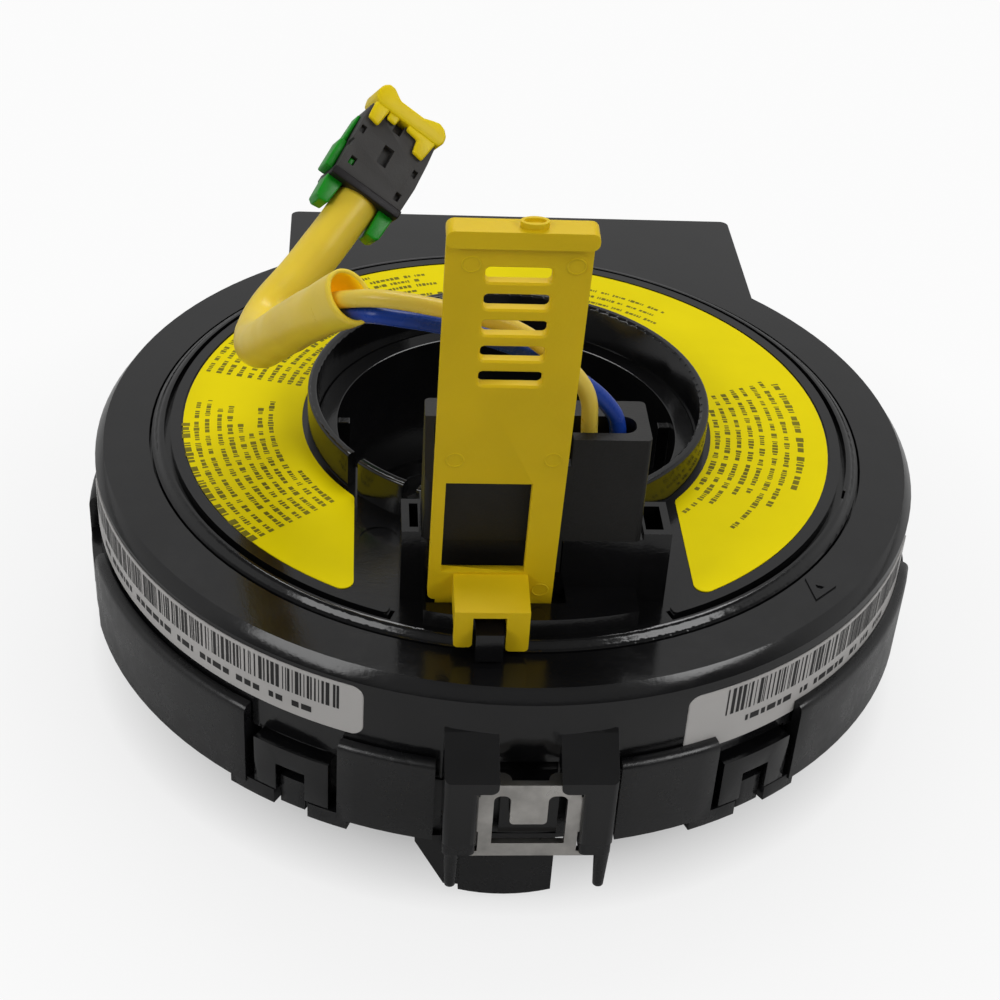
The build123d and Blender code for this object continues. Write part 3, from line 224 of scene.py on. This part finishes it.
# Painted light on the tube's inside: a brighter orange than the outside, and a faint glow set below
sleeve_inside_painted_glow = plastic("sleeve_inside_painted_glow", (0.95, 0.62, 0.010), vary=0.02, rough=0.45, rough_vary=0.06,
                        grain=0.25, grain_scale=900, specular=0.1, subsurface=0.6)
# painted light: the inside glows faintly, standing in for light let through the pale tube's wall
painted_glow_bsdf = sleeve_inside_painted_glow.node_tree.nodes["Principled BSDF"]
painted_glow_bsdf.inputs["Emission Color"].default_value = (0.95, 0.62, 0.008, 1)
painted_glow_bsdf.inputs["Emission Strength"].default_value = 0.13
wire_yellow_mat = plastic("wire_yellow", (0.76, 0.56, 0.07), vary=0.05, rough=0.30, rough_vary=0.05,
                          grain=0.25, grain_scale=1500, specular=0.3, subsurface=0.1)
wire_blue_mat = plastic("wire_blue", (0.010, 0.045, 0.30), vary=0.08, rough=0.28, rough_vary=0.05,
                        grain=0.2, grain_scale=1500, specular=0.3)
squib_grey = plastic("squib_grey", (0.050, 0.048, 0.047), vary=0.15, rough=0.55, rough_vary=0.06, grain=0.6,
                     grain_scale=3000, specular=0.25)
squib_dark = plastic("squib_dark", (0.009, 0.007, 0.008), vary=0.15, rough=0.45, rough_vary=0.06, grain=0.6,
                     grain_scale=3000, specular=0.25)
squib_green = plastic("squib_green", (0.006, 0.27, 0.010), vary=0.1, rough=0.36, rough_vary=0.06, grain=0.3,
                      grain_scale=2200, specular=0.3, subsurface=0.05)
squib_yellow = plastic("squib_yellow", (0.80, 0.60, 0.004), vary=0.05, rough=0.36, rough_vary=0.06,
                       grain=0.3, grain_scale=2200, specular=0.18, subsurface=0.1)
label_yellow = plastic("label_yellow", (0.78, 0.645, 0.0015), vary=0.03, rough=0.34, rough_vary=0.05,
                       grain=0.12, grain_scale=1400, specular=0.03, wave=0.03)
label_light = plastic("label_light", (0.52, 0.505, 0.49), vary=0.04, rough=0.34, rough_vary=0.05,
                      grain=0.12, grain_scale=1400, specular=0.3, wave=0.03)
print_dark = plastic("print_dark", (0.17, 0.145, 0.004), vary=0.35, rough=0.42, rough_vary=0.05, grain=0.2,
                     grain_scale=2600, specular=0.1)
print_black = plastic("print_black", (0.018, 0.017, 0.017), vary=0.3, rough=0.42, rough_vary=0.05,
                      grain=0.2, grain_scale=2600, specular=0.3)
ribbon_mat = plastic("ribbon_film", (0.62, 0.58, 0.48), vary=0.08, rough=0.35, rough_vary=0.05, grain=0.1,
                     grain_scale=900)
film_mat = plastic("glide_film", (0.75, 0.74, 0.7), vary=0.04, rough=0.3, rough_vary=0.05, grain=0.1,
                   grain_scale=900)
clip_metal = metal("clip_metal", (0.62, 0.60, 0.57), rough=0.30)
pin_metal = metal("pin_metal", (0.70, 0.66, 0.55), rough=0.25)

# The material of each CAD node
looks = {
    "upper_case": case_black, "lower_case": lower_black, "connector_housing": lower_black,
    "terminals_left": pin_metal, "terminals_right": pin_metal, "front_terminals": pin_metal,
    "retaining_clip": clip_metal, "ribbon_cable": ribbon_mat, "ribbon_holder": lower_black,
    "glide_film_lower": film_mat, "glide_film_upper": film_mat,
    "side_label_left": label_light, "side_label_right": label_light,
    "rotor": rotor_black, "lower_sleeve": rotor_black, "face_label": label_yellow,
    "lead_plug": plug_grey, "wire_yellow": wire_yellow_mat, "wire_blue": wire_blue_mat,
    "lead_sleeve": sleeve_yellow, "squib_shell": squib_grey, "squib_housing": squib_green,
    "squib_lock": squib_yellow, "lock_strap": strap_yellow,
}
for name, mat in looks.items():
    mesh = nodes[name].data
    mesh.materials.clear()
    mesh.materials.append(mat)


def soften(name, width):
    """Rounds the sharp edges of a CAD node with modifiers, which leave its mesh as it is."""
    obj = nodes[name]
    weld = obj.modifiers.new("weld", "WELD")
    weld.merge_threshold = 0.000002
    bev = obj.modifiers.new("round", "BEVEL")
    bev.width = width * MM
    bev.segments = 2
    bev.limit_method = "ANGLE"
    bev.angle_limit = math.radians(32)
    bev.harden_normals = False
    bev.use_clamp_overlap = True


for name, width in (("lock_strap", 0.3), ("lead_plug", 0.22), ("rotor", 0.14), ("upper_case", 0.14),
                    ("lower_case", 0.18), ("connector_housing", 0.25), ("lower_sleeve", 0.15),
                    ("retaining_clip", 0.12)):
    soften(name, width)


# Cords: smooth splines along the routes' own points, in mm
def spline_object(name, points):
    curve = bpy.data.curves.new(name, "CURVE")
    curve.dimensions = "3D"
    spline = curve.splines.new("NURBS")
    spline.points.add(len(points) - 1)
    for p, xyz in zip(spline.points, points):
        p.co = (*[c * MM for c in xyz], 1)
    spline.order_u = 3
    spline.use_endpoint_u = True
    spline.resolution_u = 24
    obj = bpy.data.objects.new(name, curve)
    bpy.context.scene.collection.objects.link(obj)
    return obj


def wire(name, points, diameter, mat):
    obj = spline_object(name, points)
    curve = obj.data
    curve.bevel_depth = diameter / 2 * MM
    curve.bevel_resolution = 6
    curve.use_fill_caps = True
    curve.materials.append(mat)
    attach(obj, "rotor_group")
    return obj


def line_of(points):
    """The smooth line that the route's spline gives, as a list of points in metres."""
    obj = spline_object("route_line", points)
    data = obj.data
    mesh = bpy.data.meshes.new_from_object(obj)
    pts = [v.co.copy() for v in mesh.vertices]
    bpy.data.objects.remove(obj)
    bpy.data.curves.remove(data)
    bpy.data.meshes.remove(mesh)
    return pts


def length_of(pts):
    return sum((b - a).length for a, b in zip(pts, pts[1:]))


wire_yellow_points = [
    (6.0, -34.0, 35.0), (5.47, -33.6, 42.82), (5.05, -34.62, 48.18), (1.49, -36.71, 53.3),
    (-3.98, -38.38, 58.32), (-10.6, -39.69, 60.61), (-16.5, -38.6, 61.1), (-20.4, -36.5, 59.7),
    (-22.4, -31.8, 56.6),
]
wire_blue_points = [
    (8.9, -34.0, 35.0), (8.96, -33.57, 43.25), (6.97, -33.21, 46.25), (4.0, -33.9, 49.11),
    (0.15, -34.68, 52.18), (-5.36, -35.79, 55.0), (-10.75, -37.0, 57.26), (-15.0, -38.0, 58.5),
    (-18.7, -37.5, 58.7), (-21.4, -33.4, 56.0),
]
# the squib connector's own axes, across, along and out of its front, and the place it sits at
squib_x = Vector((0.8168, -0.1438, -0.5588)).normalized()
squib_z = Vector((0.2903, -0.7350, 0.6136))
squib_z = (squib_z - squib_x * squib_z.dot(squib_x)).normalized()
squib_y = squib_z.cross(squib_x)
squib_at = Vector((-18.96, 10.1, 47.4))
sleeve_end = squib_at + squib_x * 0.15 - squib_y * 0.6
sleeve_points = [
    (-19.9, -35.9, 59.6), (-23.9, -26.7, 52.2), (-27.9, -17.3, 43.9), (-30.9, -9.4, 37.2),
    (-30.5, 0.35, 35.7), (-23.9, 3.9, 42.3), tuple(sleeve_end),
]
wire_d, sleeve_d = 1.8, 5.5
yellow = wire("lead_wire_yellow", wire_yellow_points, wire_d, wire_yellow_mat)
blue = wire("lead_wire_blue", wire_blue_points, wire_d, wire_blue_mat)
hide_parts("wire_yellow")
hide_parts("wire_blue")
length_of(line_of(wire_yellow_points))
length_of(line_of(wire_blue_points))


def smoothstep(a, b, x):
    t = max(0.0, min(1.0, (x - a) / (b - a)))
    return t * t * (3 - 2 * t)


def mesh_piece(name, verts, faces, mat, body, slot_name, smooth=False):
    mesh = bpy.data.meshes.new(name)
    mesh.from_pydata([tuple(v) for v in verts], [], faces)
    mesh.validate()
    mesh.update()
    if smooth:
        mesh.polygons.foreach_set("use_smooth", [True] * len(mesh.polygons))
    mesh.materials.append(mat)
    obj = bpy.data.objects.new(name, mesh)
    bpy.context.scene.collection.objects.link(obj)
    if body:
        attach(obj, body)
    return obj


# Sleeve: a hollow tube, oval and cut on the slant at its mouth
sleeve_line = line_of(sleeve_points)
around = 40
half_round = 2.75
mouth_wider, mouth_flatter, mouth_slant = 0.25, 0.62, 0.9
mouth_reach = 9 * MM
wall = 0.45 * MM
unevenness, unevenness_scale = 0.12 * MM, 240
lip_reach = 0.12 * MM
# the mouth's long axis as the photograph shows it: 21 to the right for 54 down
mouth_axis = (right * 21 - up * 54).normalized()
rings_out, rings_in = [], []
run = 0.0
frame_x = None
for i, p in enumerate(sleeve_line):
    if i:
        run += (p - sleeve_line[i - 1]).length
    ahead = sleeve_line[min(i + 1, len(sleeve_line) - 1)]
    behind = sleeve_line[max(i - 1, 0)]
    t = (ahead - behind).normalized()
    if frame_x is None:
        frame_x = (mouth_axis - t * mouth_axis.dot(t)).normalized()
    frame_x = (frame_x - t * frame_x.dot(t)).normalized()
    frame_y = t.cross(frame_x)
    mouth = 1 - smoothstep(0.0, mouth_reach, run)
    half_x = half_round + mouth_wider * mouth
    half_y = half_round - mouth_flatter * mouth
    for rings, inset in ((rings_out, 0.0), (rings_in, wall)):
        ring = []
        for k in range(around):
            ang = 2 * math.pi * k / around
            off = (frame_x * ((half_x * MM - inset) * math.cos(ang))
                   + frame_y * ((half_y * MM - inset) * math.sin(ang)))
            # the oblique cut: the long axis's lower end reaches further out
            slant = -t * (mouth_slant * MM) * math.cos(ang) * mouth * mouth
            q = p + off + slant
            q += off.normalized() * (noise.noise(q * unevenness_scale) * unevenness)
            ring.append(q)
        rings.append(ring)


def loft(name, rings, mat):
    """A smooth skin over the rings, closed at its far end, on the rotor."""
    n = len(rings[0])
    last = (len(rings) - 1) * n
    verts = [v for ring in rings for v in ring]
    faces = []
    for r in range(len(rings) - 1):
        for k in range(n):
            a, b = r * n + k, r * n + (k + 1) % n
            faces.append((a, b, b + n, a + n))
    faces.append(tuple(last + k for k in range(n)))
    return mesh_piece(name, verts, faces, mat, "rotor_group", "sleeve_pale", smooth=True)


# one skin: up the inside, over the rounded lip and down the outside
lip = [sum(pair, Vector()) / 2 for pair in zip(rings_out[0], rings_in[0])]
axis0 = (sleeve_line[1] - sleeve_line[0]).normalized()
lip = [v - axis0 * lip_reach for v in lip]
skin = list(reversed(rings_in)) + [lip] + rings_out
sleeve = loft("lead_sleeve_tube", skin, sleeve_yellow)
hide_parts("lead_sleeve")
sleeve.data.materials.append(sleeve_inside_painted_glow)
for face in list(sleeve.data.polygons)[:(len(rings_in) - 1) * around]:
    face.material_index = 1


# Squib connector: moulded pieces drawn along its own axes, in mm
def squib_prism(outline, low, high):
    """The points and faces of a prism over an outline in the connector's plane, from low to high."""
    n = len(outline)
    place = [(squib_at + squib_x * x + squib_y * y + squib_z * z) * MM
             for z in (low, high) for x, y in outline]
    faces = [tuple(range(n - 1, -1, -1)), tuple(range(n, 2 * n))]
    faces += [(k, (k + 1) % n, n + (k + 1) % n, n + k) for k in range(n)]
    return place, faces


def squib_piece(name, solids, mat, body, slot_name, round_mm, cuts=()):
    """Prisms, each (outline, low, high), with pockets cut in them and their edges rounded."""
    verts, faces = [], []
    for outline, low, high in solids:
        v, f = squib_prism(outline, low, high)
        faces += [tuple(i + len(verts) for i in face) for face in f]
        verts += v
    obj = mesh_piece(name, verts, faces, mat, body, slot_name)
    cutters = []
    for outline, low, high in cuts:
        cutter = mesh_piece(name + "_cut", *squib_prism(outline, low, high), mat, None, None)
        mod = obj.modifiers.new("pocket", "BOOLEAN")
        mod.operation = "DIFFERENCE"
        mod.solver = "EXACT"
        mod.object = cutter
        cutters.append(cutter)
    bev = obj.modifiers.new("round", "BEVEL")
    bev.width = round_mm * MM
    bev.segments = 3
    bev.limit_method = "ANGLE"
    bev.angle_limit = math.radians(25)
    graph = bpy.context.evaluated_depsgraph_get()
    done = bpy.data.meshes.new_from_object(obj.evaluated_get(graph))
    obj.modifiers.clear()
    obj.data = done
    for cutter in cutters:
        bpy.data.objects.remove(cutter)
    done.polygons.foreach_set("use_smooth", [True] * len(done.polygons))
    done.set_sharp_from_angle(angle=math.radians(40))
    return obj


def rect(x0, y0, x1, y1, lean=0.0):
    return [(x0, y0), (x1, y0), (x1 + lean, y1), (x0 + lean, y1)]


body_front, past_front = 3.3, 4.0
body_outline = [
    (-4.6, 0.2), (4.75, 0.2), (4.8, 3.6), (4.5, 7.2), (4.2, 9.5), (-5.05, 9.5), (-5.15, 8.4), (-4.85, 4.0),
]
# small pockets in the front, and last the slot for the lock bar's legs
body_pockets = [
    (rect(-4.75, 5.5, -4.05, 6.5), 2.6, past_front),
    (rect(-5.6, 3.4, -4.6, 4.4), 1.4, past_front),
    (rect(-3.8, 1.4, -3.0, 2.5), 2.4, past_front),
    (rect(-0.95, 3.6, 0.4, 6.1, -0.15), 2.2, past_front),
    (rect(3.45, 4.7, 4.1, 5.7), 2.6, past_front),
    (rect(3.1, 1.0, 3.85, 2.1), 2.4, past_front),
    (rect(-1.35, 8.0, -0.2, 11.0), 2.0, past_front),
    (rect(-3.3, 3.7, 3.3, 11.0), -0.7, 1.7),
]
squib_body = squib_piece("squib_body", [(body_outline, -3.0, body_front)], squib_grey, "rotor_group",
                         "squib_grey", 0.35, body_pockets)
squib_band = squib_piece("squib_band", [(rect(-4.85, -0.75, 4.95, 0.35), -2.95, 3.42)], squib_dark,
                         "rotor_group", "squib_grey", 0.18)
# two plug tongues, their web, a side rail with its tip, and the plug in a pocket of the front
inner_solids = [
    ([(-4.9, -0.6), (-4.75, -3.6), (-4.2, -4.0), (-3.0, -3.8), (-2.7, -0.6)], -1.7, 2.0),
    ([(2.7, -0.6), (2.9, -4.0), (4.0, -4.2), (4.6, -3.8), (4.75, -0.6)], -1.7, 2.0),
    (rect(-4.3, -1.0, 4.3, -0.5), -2.3, 0.4),
    ([(-5.75, 0.35), (-4.7, 0.35), (-4.9, 4.3), (-5.85, 4.3)], -2.3, 1.3),
    ([(-5.55, 4.1), (-5.0, 4.1), (-5.1, 8.2), (-5.5, 8.2)], -1.9, 0.8),
    (rect(-3.75, 1.5, -3.05, 2.4), 2.3, 2.75),
]
squib_inner = squib_piece("squib_inner", inner_solids, squib_green, "rotor_group", "squib_green", 0.28)
bar_outline = [
    (-5.45, 11.2), (-5.2, 12.0), (-4.6, 12.5), (-3.8, 12.45), (-3.1, 12.0), (-2.4, 11.6), (1.0, 11.6),
    (2.0, 12.0), (3.0, 12.3), (3.9, 12.0), (4.55, 11.3), (4.7, 10.4), (4.3, 9.7), (3.6, 9.6), (-4.5, 9.6),
    (-5.2, 10.1),
]
# the bar, its two legs in the body's slot, and its three catches on the front
bar_solids = [
    (bar_outline, -1.2, 4.1),
    (rect(-3.2, 3.9, -1.7, 9.9), -0.6, 1.6),
    (rect(1.7, 3.9, 3.2, 9.9), -0.6, 1.6),
    ([(-4.75, 7.5), (-3.2, 7.2), (-2.9, 9.8), (-4.95, 9.8)], 3.42, 4.05),
    ([(-2.75, 8.7), (-1.45, 8.6), (-1.3, 9.8), (-2.9, 9.8)], 3.4, 3.9),
    ([(2.05, 7.1), (3.55, 6.9), (3.95, 9.8), (-0.1, 9.8), (0.0, 8.95), (1.7, 8.75)], 3.42, 4.05),
]
squib_bar = squib_piece("squib_lock_bar", bar_solids, squib_yellow, "connector_lock", "squib_yellow", 0.3)
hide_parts("squib_shell")
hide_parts("squib_housing")
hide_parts("squib_lock")


# Print on the face label: broken dashes of made-up lengths along arcs, in rows (radius, from, to, height)
rng = random.Random(11)
label_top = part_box("face_label")[1][2] / MM
print_rows = [(40.0, -139.4, -178.0, 1.15)]
for r, end in ((38.7, -184.6), (37.4, -185.5), (35.9, -182.4), (34.6, -184.0), (33.3, -176.8),
               (32.1, -173.0), (30.9, -184.2), (29.6, -187.5), (28.4, -155.4)):
    print_rows.append((r, -139.5, end, 0.8))
for r, end in ((39.3, 116.0), (37.9, 104.0), (36.6, 106.0), (35.2, 102.0), (33.8, 108.0), (32.5, 101.0),
               (31.1, 112.0), (29.8, 106.0), (28.5, 120.0), (27.3, 110.0)):
    print_rows.append((r, 165.4, end, 0.8))
for r, start, end in ((36.0, 95.0, 48.5), (34.4, 92.0, 50.5), (32.8, 94.0, 46.5), (31.4, 88.0, 60.0)):
    print_rows.append((r, start, end, 0.7))
print_rows.append((37.0, 14.5, -24.6, 1.1))
for r, start, end in ((35.3, 16.1, -31.6), (33.8, 15.0, -42.2), (32.2, 14.7, -29.9), (30.8, 14.4, -31.7),
                      (29.3, 13.0, -38.5), (27.9, 12.9, -44.8), (26.6, 6.0, -35.9)):
    print_rows.append((r, start, end, 0.8))


def dashes(total, unit):
    """Lengths of bars and gaps, in groups, along a row of the given length."""
    marks, at = [], 0.0
    while at < total:
        for _ in range(rng.randint(2, 7)):
            w = unit * rng.choice((0.25, 0.4, 0.6, 0.85))
            if at + w > total:
                break
            marks.append((at, at + w))
            at += w + unit * 0.2
        at += unit * rng.uniform(0.5, 0.9)
    return marks


def round_point(r, ang, z):
    return Vector((r * math.cos(ang), r * math.sin(ang), z)) * MM


def add_quad(verts, faces, corners, turn):
    base = len(verts)
    verts.extend(corners)
    order = (0, 1, 2, 3) if turn > 0 else (3, 2, 1, 0)
    faces.append(tuple(base + i for i in order))


print_lift = 0.012
print_z = label_top + print_lift
verts, faces = [], []
for r, start_deg, end_deg, high in print_rows:
    turn = 1 if end_deg > start_deg else -1
    start = math.radians(start_deg)
    for t0, t1 in dashes(math.radians(abs(end_deg - start_deg)) * r, high):
        half = high * rng.choice((0.34, 0.34, 0.44))
        bar = ((r - half, t0), (r + half, t0), (r + half, t1), (r - half, t1))
        add_quad(verts, faces, [round_point(rr, start + turn * tt / r, print_z) for rr, tt in bar], turn)
mesh_piece("face_print", verts, faces, print_dark, "rotor_group", "label_yellow")

# Plain stripes and a broken line on the two side labels
side_wall_r, label_thick, side_print_lift = 51.1, 0.12, 0.02
side_r = side_wall_r + label_thick + side_print_lift
for name, near, far, low, high, row_low, row_high, row_from, row_to in (
        ("left", -113.6, -167.5, 15.2, 18.45, 13.05, 14.5, -117.3, -163.0),
        ("right", -64.9, -24.0, 13.9, 17.65, 11.7, 13.2, -61.6, -30.0)):
    turn = 1 if far > near else -1
    marks = []
    at, total = 0.0, math.radians(abs(far - near)) * side_r
    while at < total:
        w = rng.choice((0.12, 0.12, 0.2, 0.2, 0.3, 0.45))
        marks.append((math.radians(near), at, at + w, low, high))
        at += w + rng.choice((0.12, 0.14, 0.2, 0.28, 0.42))
    inset = 0.22 * (row_high - row_low)
    for t0, t1 in dashes(math.radians(abs(row_to - row_from)) * side_r, 1.5):
        marks.append((math.radians(row_from), t0, t1, row_low + inset, row_high - inset))
    verts, faces = [], []
    for start, t0, t1, z0, z1 in marks:
        bar = ((t0, z0), (t1, z0), (t1, z1), (t0, z1))
        add_quad(verts, faces, [round_point(side_r, start + turn * tt / side_r, zz) for tt, zz in bar], turn)
    mesh_piece("side_print_" + name, verts, faces, print_black, "stator", "label_light")

# Faint round marks that the mould's pins left on the strap's face: a plane that leans back, at its distance
# from the origin. Each mark is a low ring, (radius, lift) from its inside to its outside.
lean = math.radians(7.41)
face_n = Vector((0, -math.cos(lean), -math.sin(lean)))
face_up = Vector((0, -math.sin(lean), math.cos(lean)))
face_out = 35.631
sides = 40
mark_profile = ((0.74, -0.02), (0.82, 0.06), (0.93, 0.06), (1.0, -0.02))
verts, faces = [], []
for x, along in ((1.0, 30.5), (-9.1, 49.2), (0.9, 49.4), (-8.7, 73.6), (1.1, 73.6)):
    centre = face_n * face_out + face_up * along + Vector((x, 0, 0))
    base = len(verts)
    for radius, lift in mark_profile:
        for k in range(sides):
            ang = 2 * math.pi * k / sides
            spot = centre + Vector((math.cos(ang) * radius, 0, 0)) + face_up * (math.sin(ang) * radius)
            verts.append((spot + face_n * lift) * MM)
    for ring in range(len(mark_profile) - 1):
        for k in range(sides):
            i, j = base + ring * sides + k, base + ring * sides + (k + 1) % sides
            faces.append((i, j, j + sides, i + sides))
mesh_piece("strap_pin_marks", verts, faces, strap_yellow, "strap", "strap_yellow", smooth=True)


# Floor: light grey, nearly white to the camera, the white fading out by distance near the object: real
# shadow plus painted shade
floor_mesh = bpy.data.meshes.new("floor")
floor_half = 3
floor_z = cad_box[0][2] - 0.00002
floor_mesh.from_pydata([(x * floor_half, y * floor_half, floor_z)
                        for x, y in ((-1, -1), (1, -1), (1, 1), (-1, 1))], [], [(0, 1, 2, 3)])
floor = bpy.data.objects.new("floor", floor_mesh)
bpy.context.scene.collection.objects.link(floor)
floor_mat, tree, bsdf = new_material("floor")
coords = tree.nodes.new("ShaderNodeTexCoord").outputs["Object"]
tree.links.new(ramp(tree, noise_node(tree, coords, 3), [(0.3, (0.48,) * 3), (0.7, (0.50,) * 3)]),
               bsdf.inputs["Base Color"])
bsdf.inputs["Roughness"].default_value = 0.9
bsdf.inputs["Specular IOR Level"].default_value = 0.1
glow = tree.nodes.new("ShaderNodeEmission")
glow.inputs["Color"].default_value = (1, 1, 1, 1)
glow.inputs["Strength"].default_value = 1.0
rays = tree.nodes.new("ShaderNodeLightPath")
reach = tree.nodes.new("ShaderNodeVectorMath")
reach.operation = "LENGTH"
tree.links.new(coords, reach.inputs[0])
# how much of the white shows, by the distance from the middle in metres; the fade towards the middle is
# painted shade
painted_shade_white_share = ramp(tree, reach.outputs["Value"],
                  [(0.034, (0, 0, 0)), (0.055, (0.84,) * 3), (0.1, (0.94,) * 3)])
mix_shaders(tree, times(tree, rays.outputs["Is Camera Ray"], painted_shade_white_share), bsdf.outputs["BSDF"],
            glow.outputs["Emission"], tree.nodes["Material Output"].inputs["Surface"])
floor_mesh.materials.append(floor_mat)

# World: bright up to a height, as from a pale backdrop, darker over it and at the front, and white to the
# camera
world = bpy.data.worlds.new("studio")
bpy.context.scene.world = world
world.use_nodes = True
tree = world.node_tree
background = tree.nodes["Background"]
background.inputs["Color"].default_value = (1, 1, 1, 1)
split = tree.nodes.new("ShaderNodeSeparateXYZ")
tree.links.new(tree.nodes.new("ShaderNodeTexCoord").outputs["Generated"], split.inputs["Vector"])
band = map_range(tree, split.outputs["Z"], low=0.60, high=0.78, to_low=0.56, to_high=0.14,
                 kind="SMOOTHSTEP")
to_back = map_range(tree, split.outputs["Y"], low=-0.55, high=-0.05, to_low=0.2, to_high=1.0,
                    kind="SMOOTHSTEP")
tree.links.new(times(tree, band, to_back), background.inputs["Strength"])
shown = tree.nodes.new("ShaderNodeBackground")
shown.inputs["Color"].default_value = (1, 1, 1, 1)
shown.inputs["Strength"].default_value = 1.0
rays = tree.nodes.new("ShaderNodeLightPath")
mix_shaders(tree, rays.outputs["Is Camera Ray"], background.outputs["Background"],
            shown.outputs["Background"], tree.nodes["World Output"].inputs["Surface"])


# Lights: four softboxes that look at the object
object_middle = Vector((0, 0, 0.02))


def softbox(name, place, size, power):
    data = bpy.data.lights.new(name, "AREA")
    data.shape = "RECTANGLE"
    data.size, data.size_y = size
    data.energy = power
    obj = bpy.data.objects.new(name, data)
    bpy.context.scene.collection.objects.link(obj)
    obj.location = place
    obj.rotation_euler = (object_middle - Vector(place)).to_track_quat("-Z", "Y").to_euler()


softbox("softbox_back", (0.05, 0.36, 0.72), (0.55, 0.3), 3.0)
softbox("softbox_left", (-0.52, -0.38, 0.46), (0.35, 0.35), 1.6)
softbox("softbox_front", (0.02, -0.62, 0.66), (1.3, 0.8), 0.65)
softbox("softbox_right", (0.52, -0.36, 0.52), (0.35, 0.35), 2.0)

bpy.context.scene.view_settings.view_transform = "Standard"
